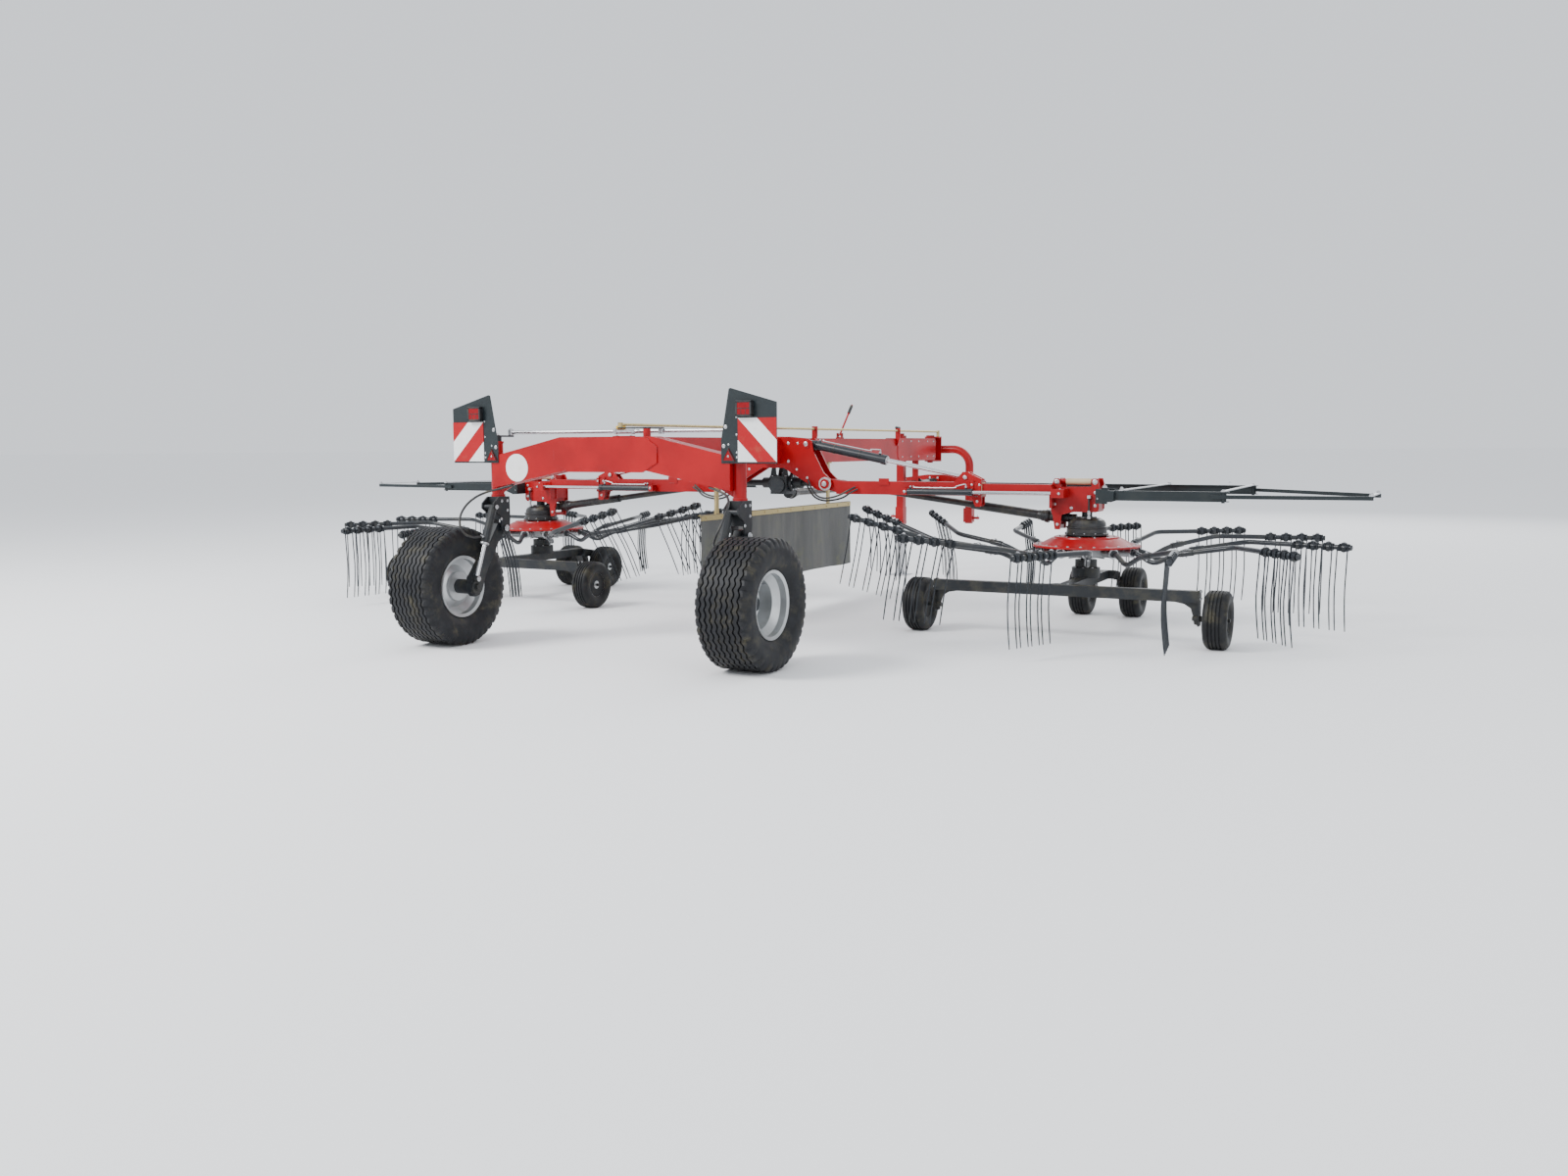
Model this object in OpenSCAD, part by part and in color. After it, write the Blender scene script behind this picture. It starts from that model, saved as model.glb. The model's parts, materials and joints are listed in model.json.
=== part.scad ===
// Twin rotor hay rake with centre delivery: steered rear chassis, swinging headstock,
// two hinged telescopic booms and a tined rotor on its own wheels at the end of each.
// X points to the machine's right, Y forward along the line of draught, Z up from the ground.

/* [Ground wheels] */
// Radius of the chassis tyres
tyre_r = 425; // [400:1:450]
// Width of the chassis tyres
tyre_w = 380; // [340:1:400]
// Radius of the chassis rim at its flanges
rim_r = 222; // [200:1:240]
// Distance of the chassis wheels' middle from the centre line
wheel_x = 1262; // [1250:1:1300]
// Radius of the rotor carriage tyres
small_r = 205; // [190:1:215]
// Width of the rotor carriage tyres
small_w = 165; // [140:1:170]
// Radius of the small rims at their flanges
small_rim_r = 104; // [90:1:115]
// Radius of the hub bores of the chassis wheels
hub_bore_r = 30; // [20:1:34]
// Radius of the hub bores of the small wheels
small_bore_r = 12.5; // [10:0.5:16]

/* [Chassis] */
// Distance of the steering kingpins from the centre line
kingpin_x = 1015; // [1005:1:1020]
// Kingpins ahead of the wheel axle
kingpin_ahead = 290; // [270:1:320]
// Radius of the kingpins
kingpin_r = 30; // [22:1:34]
// Outer radius of the kingpin sleeves
sleeve_r = 45; // [40:1:52]
// Height of the sleeves' lower ends
sleeve_low = 1062; // [1040:1:1080]
// Height of the sleeves' upper ends
sleeve_high = 1462; // [1440:1:1470]
// Thickness of the arched beam along the machine
arch_t = 130; // [100:1:140]
// Half length of the arch's level middle part
arch_flat = 380; // [340:1:420]
// Depth of the arched beam
arch_h = 226; // [190:1:240]
// How far the arch drops from its middle to its ends
arch_drop = 134; // [100:1:150]
// Height of the top of the main beam and of the arch
beam_top = 1486; // [1470:1:1500]
// Width of the main beam
beam_w = 150; // [120:1:170]
// Depth of the main beam
beam_h = 218; // [180:1:230]
// Front end of the main beam, ahead of the wheel axle
beam_front_ahead = 6290; // [6250:1:6300]

/* [Headstock] */
// Swivel pin of the headstock, ahead of the wheel axle
swivel_ahead = 6380; // [6370:1:6400]
// Radius of the swivel pin
swivel_r = 32; // [24:1:36]
// Half distance between the two legs of the headstock
leg_gap_half = 410; // [390:1:430]
// Radius of the bent tube
bow_r = 45; // [36:1:50]
// Radius of the lower link pins
link_pin_r = 14; // [11:0.5:14.5]
// Height of the lower link pins
link_pin_z = 610; // [560:1:640]
// Front end of the drive input, ahead of the wheel axle
nose_ahead = 6800; // [6780:1:6900]
// Radius of the splined input shaft
input_r = 17.45; // [17:0.05:22]
// Height of the drive line under the beam
drive_z = 1010; // [1000:1:1020]

/* [Booms] */
// Boom plane ahead of the wheel axle
boom_ahead = 2720; // [2700:1:2740]
// Distance of the boom hinge from the centre line
hinge_x = 500; // [490:1:520]
// Height of the boom hinge
hinge_z = 1100; // [1095:1:1105]
// Radius of the boom hinge pins
hinge_pin_r = 24; // [18:1:28]
// Height of the boom tube's middle
boom_z = 1070; // [1060:1:1076]
// Outside depth and width of the outer boom tube
boom_size = 108; // [104:1:112]
// Side of the inner boom tube
slide_size = 84; // [76:1:86]
// Outer end of the outer boom tube, from the centre line
boom_end_x = 1860; // [1840:1:1880]
// Travel of the telescopic boom
slide_travel = 500; // [300:1:500]
// Rod eye of the lift cylinder, from the centre line
lift_eye_x = 1720; // [1700:1:1730]
// Height of the lift cylinder's rod eye
lift_eye_z = 1162; // [1158:1:1170]
// Lift cylinder's base pin, from the centre line
lift_base_x = 320; // [310:1:330]
// Height of the lift cylinder's base pin
lift_base_z = 1434; // [1425:1:1440]

/* [Rotors] */
// Rotor axis from the centre line
rotor_x = 2660; // [2650:1:2670]
// Rotor axis ahead of the wheel axle
rotor_ahead = 2840; // [2830:1:2850]
// Number of tine arms on each rotor
arm_count = 12; // [8:1:13]
// Radius of the circle swept by the outermost tine
tine_circle_r = 1860; // [1840:1:1880]
// Radius of the circle that the innermost tine clears
tine_inner_r = 1500; // [1490:1:1540]
// Radius at which the arms bend
bend_r = 1180; // [1150:1:1200]
// Bend of the tine carriers against the direction of turning
bend_deg = 38; // [30:1:42]
// Height of the arm sockets
socket_z = 600; // [590:1:606]
// Height of the outer ends of the arms
tip_z = 680; // [660:1:690]
// Radius of the arm tubes
arm_r = 19; // [16:0.5:22]
// Double tines on each arm
tine_pairs = 4; // [3:1:4]
// Thickness of the tine wire
tine_d = 9.5; // [8:0.5:10]
// Height of the tine points above the ground
tine_clear = 80; // [60:1:120]
// Highest roll that the cam gives the arms as they pass the swath
lift_roll = 28; // [0:1:30]
// Radius of the rotor column
column_r = 40; // [34:1:44]
// Half track of the carriage's rear wheels
carriage_half = 1100; // [1090:1:1105]
// Rear wheels of the carriage, behind the rotor axis
carriage_behind = 700; // [690:1:705]
// Front wheels of the carriage, ahead of the rotor axis
carriage_before = 750; // [730:1:770]
// Half track of the carriage's front wheels
front_half = 210; // [200:1:230]

/* [Marking and curtain] */
// Side of the square marker boards
board = 282; // [270:1:300]
// Inner edge of the marker boards, from the centre line
board_x = 1056; // [1050:1:1070]
// Height of the marker boards' lower edge
board_low = 1316; // [1300:1:1330]
// Distance of the swath curtain from the centre line
curtain_x = 60; // [55:1:70]
// Height of the curtain's upper edge
curtain_top = 890; // [870:1:900]
// Height of the curtain's lower edge
curtain_low = 300; // [260:1:340]

/* [Parking] */
// Jack behind the swivel pin
jack_behind = 440; // [420:1:460]
// Distance of the jack from the centre line
jack_x = 165; // [160:1:180]

/* [Hidden] */
fit_gap = 0.05;
seat_gap = 0.3;
fine = 48;
axle_y = (tyre_r - nose_ahead) / 2;
kingpin_y = axle_y + kingpin_ahead;
arch_y = kingpin_y - 20;
arch_end_x = kingpin_x - sleeve_r * 0.6;
beam_bottom = beam_top - beam_h;
beam_front_y = axle_y + beam_front_ahead;
swivel_y = axle_y + swivel_ahead;
nose_y = axle_y + nose_ahead;
boom_y = axle_y + boom_ahead;
rotor_y = axle_y + rotor_ahead;
jack_y = swivel_y - jack_behind;
bow_y = swivel_y + 150;
board_y = arch_y - arch_t / 2 - 6 - seat_gap;
curtain_rear = axle_y + 1360;
curtain_front = axle_y + 4100;
input_free = 80;

// chassis steering linkage
steer_arm = 160;
track_rod_r = 14;
track_rod_z = 1525;
long_rod_r = 10;
long_rod_x = 90;
long_rod_z = 1568;
crank_x = 306;
crank_reach = crank_x - long_rod_x;
crank_arm = steer_arm + kingpin_y - arch_y;
crank_z = 1545;
crank_t = 8;
steer_plate_t = 12;
steer_plate_z = track_rod_z - 20 - seat_gap - steer_plate_t;

// hydraulic hoses clipped to the main beam, their run and the heights of the rows below it
hose_r = 8;
hose_rows = [0, 22, 44];
beam_hose_run = [
  [-99, 2620, 1436], [-98, 2400, 1438], [-97, 2100, 1434], [-97, 1792, 1432], [-97, 1400, 1426],
  [-97, 1092, 1432], [-97, 700, 1425], [-97, 392, 1432], [-98, 0, 1430], [-99, -270, 1432]
];

// wheel hubs
hub_pad_r = 104;

// lift and width cylinders
lift_barrel_r = 36;
lift_rod_r = 18;
lift_eye_r = 34;
lift_pin_r = 16;
lift_dx = lift_eye_x - lift_base_x;
lift_dz = lift_eye_z - lift_base_z;
lift_len = sqrt(lift_dx * lift_dx + lift_dz * lift_dz);
lift_deg = atan2(lift_dz, lift_dx);
lift_barrel_len = 720;
width_y = boom_y - boom_size / 2 - 40;
width_z = boom_z - 24;
width_barrel_r = 24;
width_rod_r = 13;
width_start_x = 1240;
width_barrel_end_x = 1800;
width_eye_x = 2500;
width_pin_r = 10;

// drive shafts to the rotors
drive_guard_r = 31;
shaft_in_x = hinge_x;
shaft_in_z = hinge_z;
shaft_out_x = 2425;
shaft_out_z = 850;
shaft_dx = shaft_out_x - shaft_in_x;
shaft_dz = shaft_out_z - shaft_in_z;
shaft_len = sqrt(shaft_dx * shaft_dx + shaft_dz * shaft_dz);
shaft_deg = atan2(-shaft_dz, shaft_dx);
joint_r = 34;
joint_half = 29;
guard_in_r = 26;
guard_out_r = 36;

// tine arms, measured out from the rotor axis
lift_azimuth = 205;
crank_start_r = 430;
crank_mid_r = 560;
crank_end_r = 740;
crank_dip = 78;
coil_r = 29;
coil_half = 14;
tine_bow = 30;

// guard frame, its points given in plan
guard_z = 1034;
guard_seat_x = rotor_x + 112 + seat_gap;
guard_root_x = rotor_x + 250;
guard_rear_y = rotor_y - 180;
guard_front_y = rotor_y + 1440;
rail_h = 74;
rail_w = 36;
rail_t = 6;
tube_w = 28;
strut_share = 0.72;
guard_rear_in = [guard_root_x - 50, guard_rear_y];
guard_rear_out = [rotor_x + 1050, guard_rear_y];
guard_front_in = [rotor_x - 1500, guard_front_y + 160];
guard_front_out = [rotor_x + 1050, guard_front_y];
guard_end_rear = [rotor_x + 2000, guard_rear_y + 90];
guard_end_front = [rotor_x + 2020, rotor_y + 460];

// rotor heights
disc_rim_r = 400;
disc_rim_z = 645;
disc_bolt_r = 376;
socket_out = 398;
disc_post_r = socket_out - 10 - disc_bolt_r;
socket_r = 34;
arm_root_r = 20;
disc_top_r = 250;
disc_top_z = 705;
bell_r = 156;
bell_low = 722;
bell_high = 862;
head_low = 900;
head_high = 1092;
leg_low = 762;
carriage_top = 400;
carriage_h = 80;

// a round or many-sided bar between two points
module bar(p, q, r, sides = 8) {
  d = q - p;
  h = norm(d);
  translate(p)
    rotate([0, acos(d[2] / h), atan2(d[1], d[0])])
      cylinder(h = h, r = r, $fn = sides);
}

// a box given by its lowest and highest corners
module block(a, b) {
  translate(a) cube(b - a);
}

// a cylinder along X between two stations
module x_rod(x0, x1, y, z, r, sides = fine) {
  translate([x0, y, z]) rotate([0, 90, 0]) cylinder(h = x1 - x0, r = r, $fn = sides);
}

// a cylinder along Y between two stations
module y_rod(y0, y1, x, z, r, sides = fine) {
  translate([x, y1, z]) rotate([90, 0, 0]) cylinder(h = y1 - y0, r = r, $fn = sides);
}

// a cylinder along Z between two heights
module z_rod(z0, z1, x, y, r, sides = fine) {
  translate([x, y, z0]) cylinder(h = z1 - z0, r = r, $fn = sides);
}

// a flat plate in the XZ plane, centred on a station of Y
module xz_plate(points, y, t) {
  translate([0, y + t / 2, 0]) rotate([90, 0, 0]) linear_extrude(t) polygon(points);
}

function unit(v) = v / norm(v);

// a point on a smooth curve through the middle two of four points
function curve_point(a, b, c, d, t) =
  0.5 * (2 * b + (c - a) * t + (2 * a - 5 * b + 4 * c - d) * t * t + (3 * b - a - 3 * c + d) * t * t * t);

// a smooth run through a few chosen points
function smooth_run(p, steps) = [
  for (i = [0 : len(p) - 2], k = [0 : steps - 1])
    curve_point(p[max(i - 1, 0)], p[i], p[i + 1], p[min(i + 2, len(p) - 1)], k / steps),
  p[len(p) - 1]
];

// a hose swept along a run, its rings turned from a direction that the run never takes
module hose(points, r, reference, sides = 8) {
  run = smooth_run(points, 2);
  last = len(run) - 1;
  rings = [
    for (i = [0 : last])
      let (along = unit(run[min(i + 1, last)] - run[max(i - 1, 0)]),
           side = unit(cross(along, reference)),
           other = cross(along, side))
      for (k = [0 : sides - 1])
        run[i] + (side * cos(k * 360 / sides) + other * sin(k * 360 / sides)) * r
  ];
  walls = [
    for (i = [0 : last - 1], k = [0 : sides - 1])
      let (next = (k + 1) % sides)
      [i * sides + k, (i + 1) * sides + k, (i + 1) * sides + next, i * sides + next]
  ];
  ends = [[for (k = [0 : sides - 1]) k], [for (k = [sides - 1 : -1 : 0]) last * sides + k]];
  polyhedron(points = rings, faces = concat(walls, ends), convexity = 6);
}

module mirrored() {
  mirror([1, 0, 0]) children();
}

// main beam with its doubled front end, swivel housing, rod guides, shaft hanger and hand lever
module main_beam() {
  lever_y = swivel_y - 2380;
  lever_foot = [0, lever_y, beam_top + 34];
  lever_top = [-6, lever_y + 290, beam_top + 322];
  bearing_r = 58;
  skin = 6;
  skin_rear = swivel_y - 1130;
  skin_side = [
    [skin_rear, beam_bottom + 34], [skin_rear + 50, beam_bottom - 12], [swivel_y - 70, beam_bottom - 12],
    [swivel_y - 40, beam_bottom + 16], [swivel_y - 40, beam_top - 16], [swivel_y - 70, beam_top + 10],
    [skin_rear + 50, beam_top + 10], [skin_rear, beam_top - 34]
  ];
  color("firebrick")
    difference() {
      union() {
        block([-beam_w / 2, arch_y + arch_t / 2, beam_bottom], [beam_w / 2, beam_front_y, beam_top]);
        for (s = [-1, 1])
          translate([s * (beam_w / 2 + skin / 2 - 1) - skin / 2, 0, 0])
            rotate([90, 0, 90]) linear_extrude(skin) polygon(skin_side);
        block([-beam_w / 2 + 20, beam_front_y, beam_bottom + 12],
              [beam_w / 2 - 20, swivel_y - 20, beam_top - 12]);
        z_rod(beam_bottom - 12, beam_top + 14, 0, swivel_y, bearing_r);
        for (y = [boom_y + 560, swivel_y - 1160])
          xz_plate([[beam_w / 2 - 10, beam_top - 70], [beam_w / 2 + 14, beam_top - 70],
                [long_rod_x + 26, beam_top + 20],
                    [long_rod_x + 26, long_rod_z + 24], [long_rod_x - 26, long_rod_z + 24],
                    [long_rod_x - 26, beam_top - 4],
                    [beam_w / 2 - 10, beam_top - 4]], y, 14);
        xz_plate([[-34, beam_bottom], [34, beam_bottom], [30, drive_z + 20], [44, drive_z - 4],
              [30, drive_z - 44],
                  [-30, drive_z - 44], [-44, drive_z - 4], [-30, drive_z + 20]], jack_y, 26);
        for (y = [arch_y + 170, boom_y - 330])
          block([-beam_w / 2 - 7, y - 20, beam_top - 120], [beam_w / 2 + 7, y + 20, beam_top + 7]);
        block([-30, lever_y - 26, beam_top - 2], [30, lever_y + 26, beam_top + 12]);
        for (s = [-1, 1])
          block([s * 22 - 4, lever_y - 20, beam_top + 8], [s * 22 + 4, lever_y + 20, beam_top + 52]);
        x_rod(-30, 30, lever_y, beam_top + 34, 8);
        bar(lever_foot, lever_top, 9, 8);
      }
      z_rod(beam_bottom - 20, beam_top + 20, 0, swivel_y, swivel_r + fit_gap);
      y_rod(boom_y, beam_front_y, long_rod_x, long_rod_z, long_rod_r + seat_gap);
      y_rod(jack_y - 20, jack_y + 20, 0, drive_z, drive_guard_r + fit_gap);
    }
}

module arch_beam() {
  top = beam_top;
  low = beam_top - arch_h;
  inner = arch_flat * 0.82;
  outline = [
    [-arch_flat, top], [arch_flat, top], [arch_end_x, top - arch_drop], [arch_end_x, low - arch_drop],
    [inner, low], [-inner, low], [-arch_end_x, low - arch_drop], [-arch_end_x, top - arch_drop]
  ];
  plate = [
    [-arch_flat - 50, top - 70], [-arch_flat + 40, top - 6], [arch_flat - 40, top - 6],
    [arch_flat + 50, top - 70], [arch_flat + 50, low + 50], [inner, low - 16], [-inner, low - 16],
    [-arch_flat - 50, low + 50]
  ];
  color("firebrick")
    difference() {
      union() {
        xz_plate(outline, arch_y, arch_t);
        xz_plate(plate, arch_y - arch_t / 2, 16);
        for (s = [-1, 1]) {
          z_rod(sleeve_low, sleeve_high, s * kingpin_x, kingpin_y, sleeve_r);
          for (z = [sleeve_low, sleeve_high - 16])
            z_rod(z, z + 16, s * kingpin_x, kingpin_y, sleeve_r + 6);
          mirror([s < 0 ? 1 : 0, 0, 0])
            xz_plate([[arch_end_x - 150, low - arch_drop + 30], [arch_end_x + 10, low - arch_drop + 4],
                      [arch_end_x + 10, sleeve_low + 20],
                      [arch_end_x - 12, sleeve_low + 20]], arch_y + 10, 12);
        }
        z_rod(beam_top - 4, crank_z - crank_t / 2 - seat_gap, crank_x, arch_y, 26);
      }
      for (s = [-1, 1])
        z_rod(sleeve_low - 5, sleeve_high + 5, s * kingpin_x, kingpin_y, kingpin_r + fit_gap);
      z_rod(beam_top - 30, crank_z + 10, crank_x, arch_y, 10 + fit_gap);
    }
}

// hydraulic hoses clipped along the left side of the main beam, between their two end blocks
module beam_hoses() {
  side_x = -beam_w / 2;
  high = beam_top - 36;
  low = beam_top - 112;
  color("black") {
    for (drop = hose_rows)
      hose([for (p = beam_hose_run) p - [0, 0, drop]], hose_r, [0.2, 0.1, 1]);
    for (y = [1792, 1092, 392])
      block([side_x - 36, y - 12, low], [side_x - seat_gap, y + 12, high]);
    block([side_x - 44, 2606, low], [side_x - 5 - seat_gap, 2642, high + 4]);
    block([side_x - 48, -300, low - 20], [side_x - seat_gap, -240, high + 8]);
  }
}

// side plates that hold the boom hinges and the lift cylinders' base pins
module boom_carrier() {
  plate_t = 14;
  gap = boom_size / 2 + 6 + plate_t / 2;
  ear = 58;
  foot_z = beam_bottom - 36;
  half = [
    [beam_w / 2 + 30, foot_z], [hinge_x - 70, hinge_z - ear + 4], [hinge_x, hinge_z - ear],
    [hinge_x + ear * 0.7, hinge_z - ear * 0.7], [hinge_x + ear, hinge_z],
    [hinge_x + ear * 0.75, hinge_z + ear * 0.7],
    [hinge_x - 20, hinge_z + ear + 40], [lift_base_x + 66, lift_base_z - 60],
    [lift_base_x + 50, lift_base_z + 26],
    [lift_base_x + 16, lift_base_z + 46], [lift_base_x - 30, lift_base_z + 46],
    [beam_w / 2 + 20, beam_top + 12]
  ];
  outline = concat(half, [for (k = [len(half) - 1 : -1 : 0]) [-half[k][0], half[k][1]]]);
  color("firebrick")
    difference() {
      union() {
        for (s = [-1, 1])
          xz_plate(outline, boom_y + s * gap, plate_t);
        for (s = [-1, 1]) {
          y_rod(boom_y - gap - 34, boom_y + gap + 12, s * hinge_x, hinge_z, hinge_pin_r);
          y_rod(boom_y + gap - plate_t / 2, boom_y + gap + 11, s * hinge_x, hinge_z, 50);
          y_rod(boom_y - gap - 16, boom_y - gap + plate_t / 2, s * hinge_x, hinge_z, 58);
          y_rod(boom_y - gap - 28, boom_y - gap, s * hinge_x, hinge_z, 40);
          y_rod(boom_y - gap - 16, boom_y + gap + 16, s * lift_base_x, lift_base_z, lift_pin_r);
          for (t = [-1, 1])
            y_rod(boom_y + t * (gap + 4) - 10, boom_y + t * (gap + 4) + 10, s * lift_base_x, lift_base_z,
                  34);
          mirror([s < 0 ? 1 : 0, 0, 0]) {
            block([beam_w / 2 + 40, boom_y - gap, foot_z + 24],
                  [beam_w / 2 + 54, boom_y + gap, beam_top - 40]);
            block([hinge_x - 190, boom_y - gap, hinge_z + 26],
                  [hinge_x - 176, boom_y + gap, hinge_z + 120]);
          }
        }
      }
      block([-beam_w / 2, boom_y - 200, beam_bottom], [beam_w / 2, boom_y + 200, beam_top]);
    }
}

// gearbox under the main beam with its flanged outputs and the brackets that hold it
module centre_gearbox() {
  body = 78;
  flange_r = 74;
  bracket = [
    [30, shaft_in_z + 50], [body + 10, shaft_in_z + 50], [beam_w / 2 - 8, beam_bottom - seat_gap],
    [40, beam_bottom - seat_gap]
  ];
  color("dimgray") {
    block([-body, rotor_y - 92, shaft_in_z - 96], [body, rotor_y + 92, shaft_in_z + 58]);
    y_rod(rotor_y - 106, rotor_y + 118, 0, shaft_in_z - 20, 62);
    for (s = [-1, 1])
      mirror([s < 0 ? 1 : 0, 0, 0]) {
        x_rod(body - 4, body + 30, rotor_y, shaft_in_z, flange_r);
        x_rod(body + 26, body + 110, rotor_y, shaft_in_z, 46);
        x_rod(body, shaft_in_x - joint_r - seat_gap, rotor_y, shaft_in_z, 27);
        for (y = [rotor_y - 70, rotor_y + 70])
          xz_plate(bracket, y, 12);
      }
    y_rod(rotor_y + 88, rotor_y + 150, 0, drive_z, 48);
  }
}

module main_drive_shaft() {
  head_r = 46;
  color("black") {
    y_rod(rotor_y + 150, swivel_y - 20, 0, drive_z, drive_guard_r);
    for (y = [rotor_y + 150, jack_y + 60])
      translate([0, y, drive_z]) rotate([-90, 0, 0]) cylinder(h = 120, r1 = 56, r2 = drive_guard_r,
            $fn = fine);
    z_rod(drive_z - 38, drive_z + 38, 0, swivel_y, head_r);
  }
}

// square jack tube on its bracket, with the gear head and the crank on top
module jack_tube() {
  side = 80;
  wall = 6;
  low = 560;
  top = beam_top + 40;
  seat_x = -beam_w / 2 - 5 - seat_gap;
  color("firebrick") {
    difference() {
      union() {
        block([-jack_x - side / 2, jack_y - side / 2, low], [-jack_x + side / 2, jack_y + side / 2, top]);
        block([-jack_x - side / 2 - 6, jack_y - side / 2 - 6, low],
              [-jack_x + side / 2 + 6, jack_y + side / 2 + 6, low + 40]);
        for (z = [beam_bottom + 24, beam_top - 44])
          block([-jack_x + side / 2 - 2, jack_y - 60, z], [seat_x, jack_y + 60, z + 16]);
        block([-jack_x + side / 2 - 2, jack_y - 8, beam_bottom + 30],
              [seat_x, jack_y + 8, beam_top - 30]);
      }
      block([-jack_x - side / 2 + wall, jack_y - side / 2 + wall, low - 5],
            [-jack_x + side / 2 - wall, jack_y + side / 2 - wall, top - wall]);
    }
    z_rod(top - 2, top + 22, -jack_x, jack_y, 30);
    y_rod(jack_y - 62, jack_y + 30, -jack_x, top - 30, 12);
    block([-jack_x - 6, jack_y - 68, top - 36], [-jack_x + 6, jack_y - 58, top + 90]);
    y_rod(jack_y - 150, jack_y - 60, -jack_x, top + 84, 13);
  }
}

module jack_leg() {
  side = 67;
  foot = 200;
  top = 1000;
  color("silver") {
    block([-jack_x - side / 2, jack_y - side / 2, 8], [-jack_x + side / 2, jack_y + side / 2, top]);
    block([-jack_x - foot / 2, jack_y - foot / 2, 0], [-jack_x + foot / 2, jack_y + foot / 2, 10]);
    for (turn = [0, 90])
      translate([-jack_x, jack_y, 0])
        rotate([90, 0, turn]) translate([0, 0, -4]) linear_extrude(8)
          polygon([[-side / 2 - 34, 8], [side / 2 + 34, 8], [side / 2 - 2, 60], [-side / 2 + 2, 60]]);
  }
}

// clamp bar of the swath curtain and its two hangers under the main beam
module curtain_bar() {
  color("goldenrod") {
    block([curtain_x - 5, curtain_rear, curtain_top - 46], [curtain_x, curtain_front, curtain_top]);
    block([curtain_x - 24, curtain_rear, curtain_top - 5], [curtain_x, curtain_front, curtain_top]);
    for (y = [curtain_rear + 260, curtain_front - 460]) {
      block([curtain_x - 22, y - 22, curtain_top - 30], [curtain_x - 4, y + 22, beam_bottom]);
      block([curtain_x - 50, y - 34, beam_bottom - 10], [curtain_x + 10, y + 34, beam_bottom]);
    }
  }
}

module swath_curtain() {
  color("dimgray")
    block([curtain_x + seat_gap, curtain_rear, curtain_low],
          [curtain_x + seat_gap + 6, curtain_front, curtain_top]);
}

module marker_plates() {
  inner = kingpin_x - 60;
  outline = [
    [inner - 26, board_low - 10], [inner - 26, board_low + 140], [inner + 34, board_low + 470],
    [inner + 48, board_low + 474], [board_x + board, board_low + 380], [board_x + board, board_low - 10]
  ];
  color("darkslategray")
    for (s = [-1, 1])
      mirror([s < 0 ? 1 : 0, 0, 0]) {
        xz_plate(outline, board_y + 3, 6);
        difference() {
          block([kingpin_x - 22, board_y + 6, board_low + 20],
                [kingpin_x + 30, kingpin_y - 26, board_low + 90]);
          z_rod(board_low, board_low + 100, kingpin_x, kingpin_y, sleeve_r);
        }
      }
}

module marker_boards() {
  color("white") {
    for (s = [-1, 1])
      block([s > 0 ? board_x : -board_x - board, board_y - 4, board_low],
            [s > 0 ? board_x + board : -board_x, board_y, board_low + board]);
    y_rod(arch_y - arch_t / 2 - 4, arch_y - arch_t / 2, -(arch_flat + arch_end_x) / 2 - 80, 1272, 98);
  }
}

module rear_lamps() {
  color("red")
    for (s = [-1, 1]) {
      mirror([s < 0 ? 1 : 0, 0, 0]) {
        block([board_x + 6, board_y - 34, board_low + board + 14],
              [board_x + 110, board_y, board_low + board + 104]);
        xz_plate([[kingpin_x - 78, board_low + 4], [kingpin_x + 18, board_low + 4],
              [kingpin_x - 30, board_low + 88]],
                 board_y - 4, 8);
      }
    }
}

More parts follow.
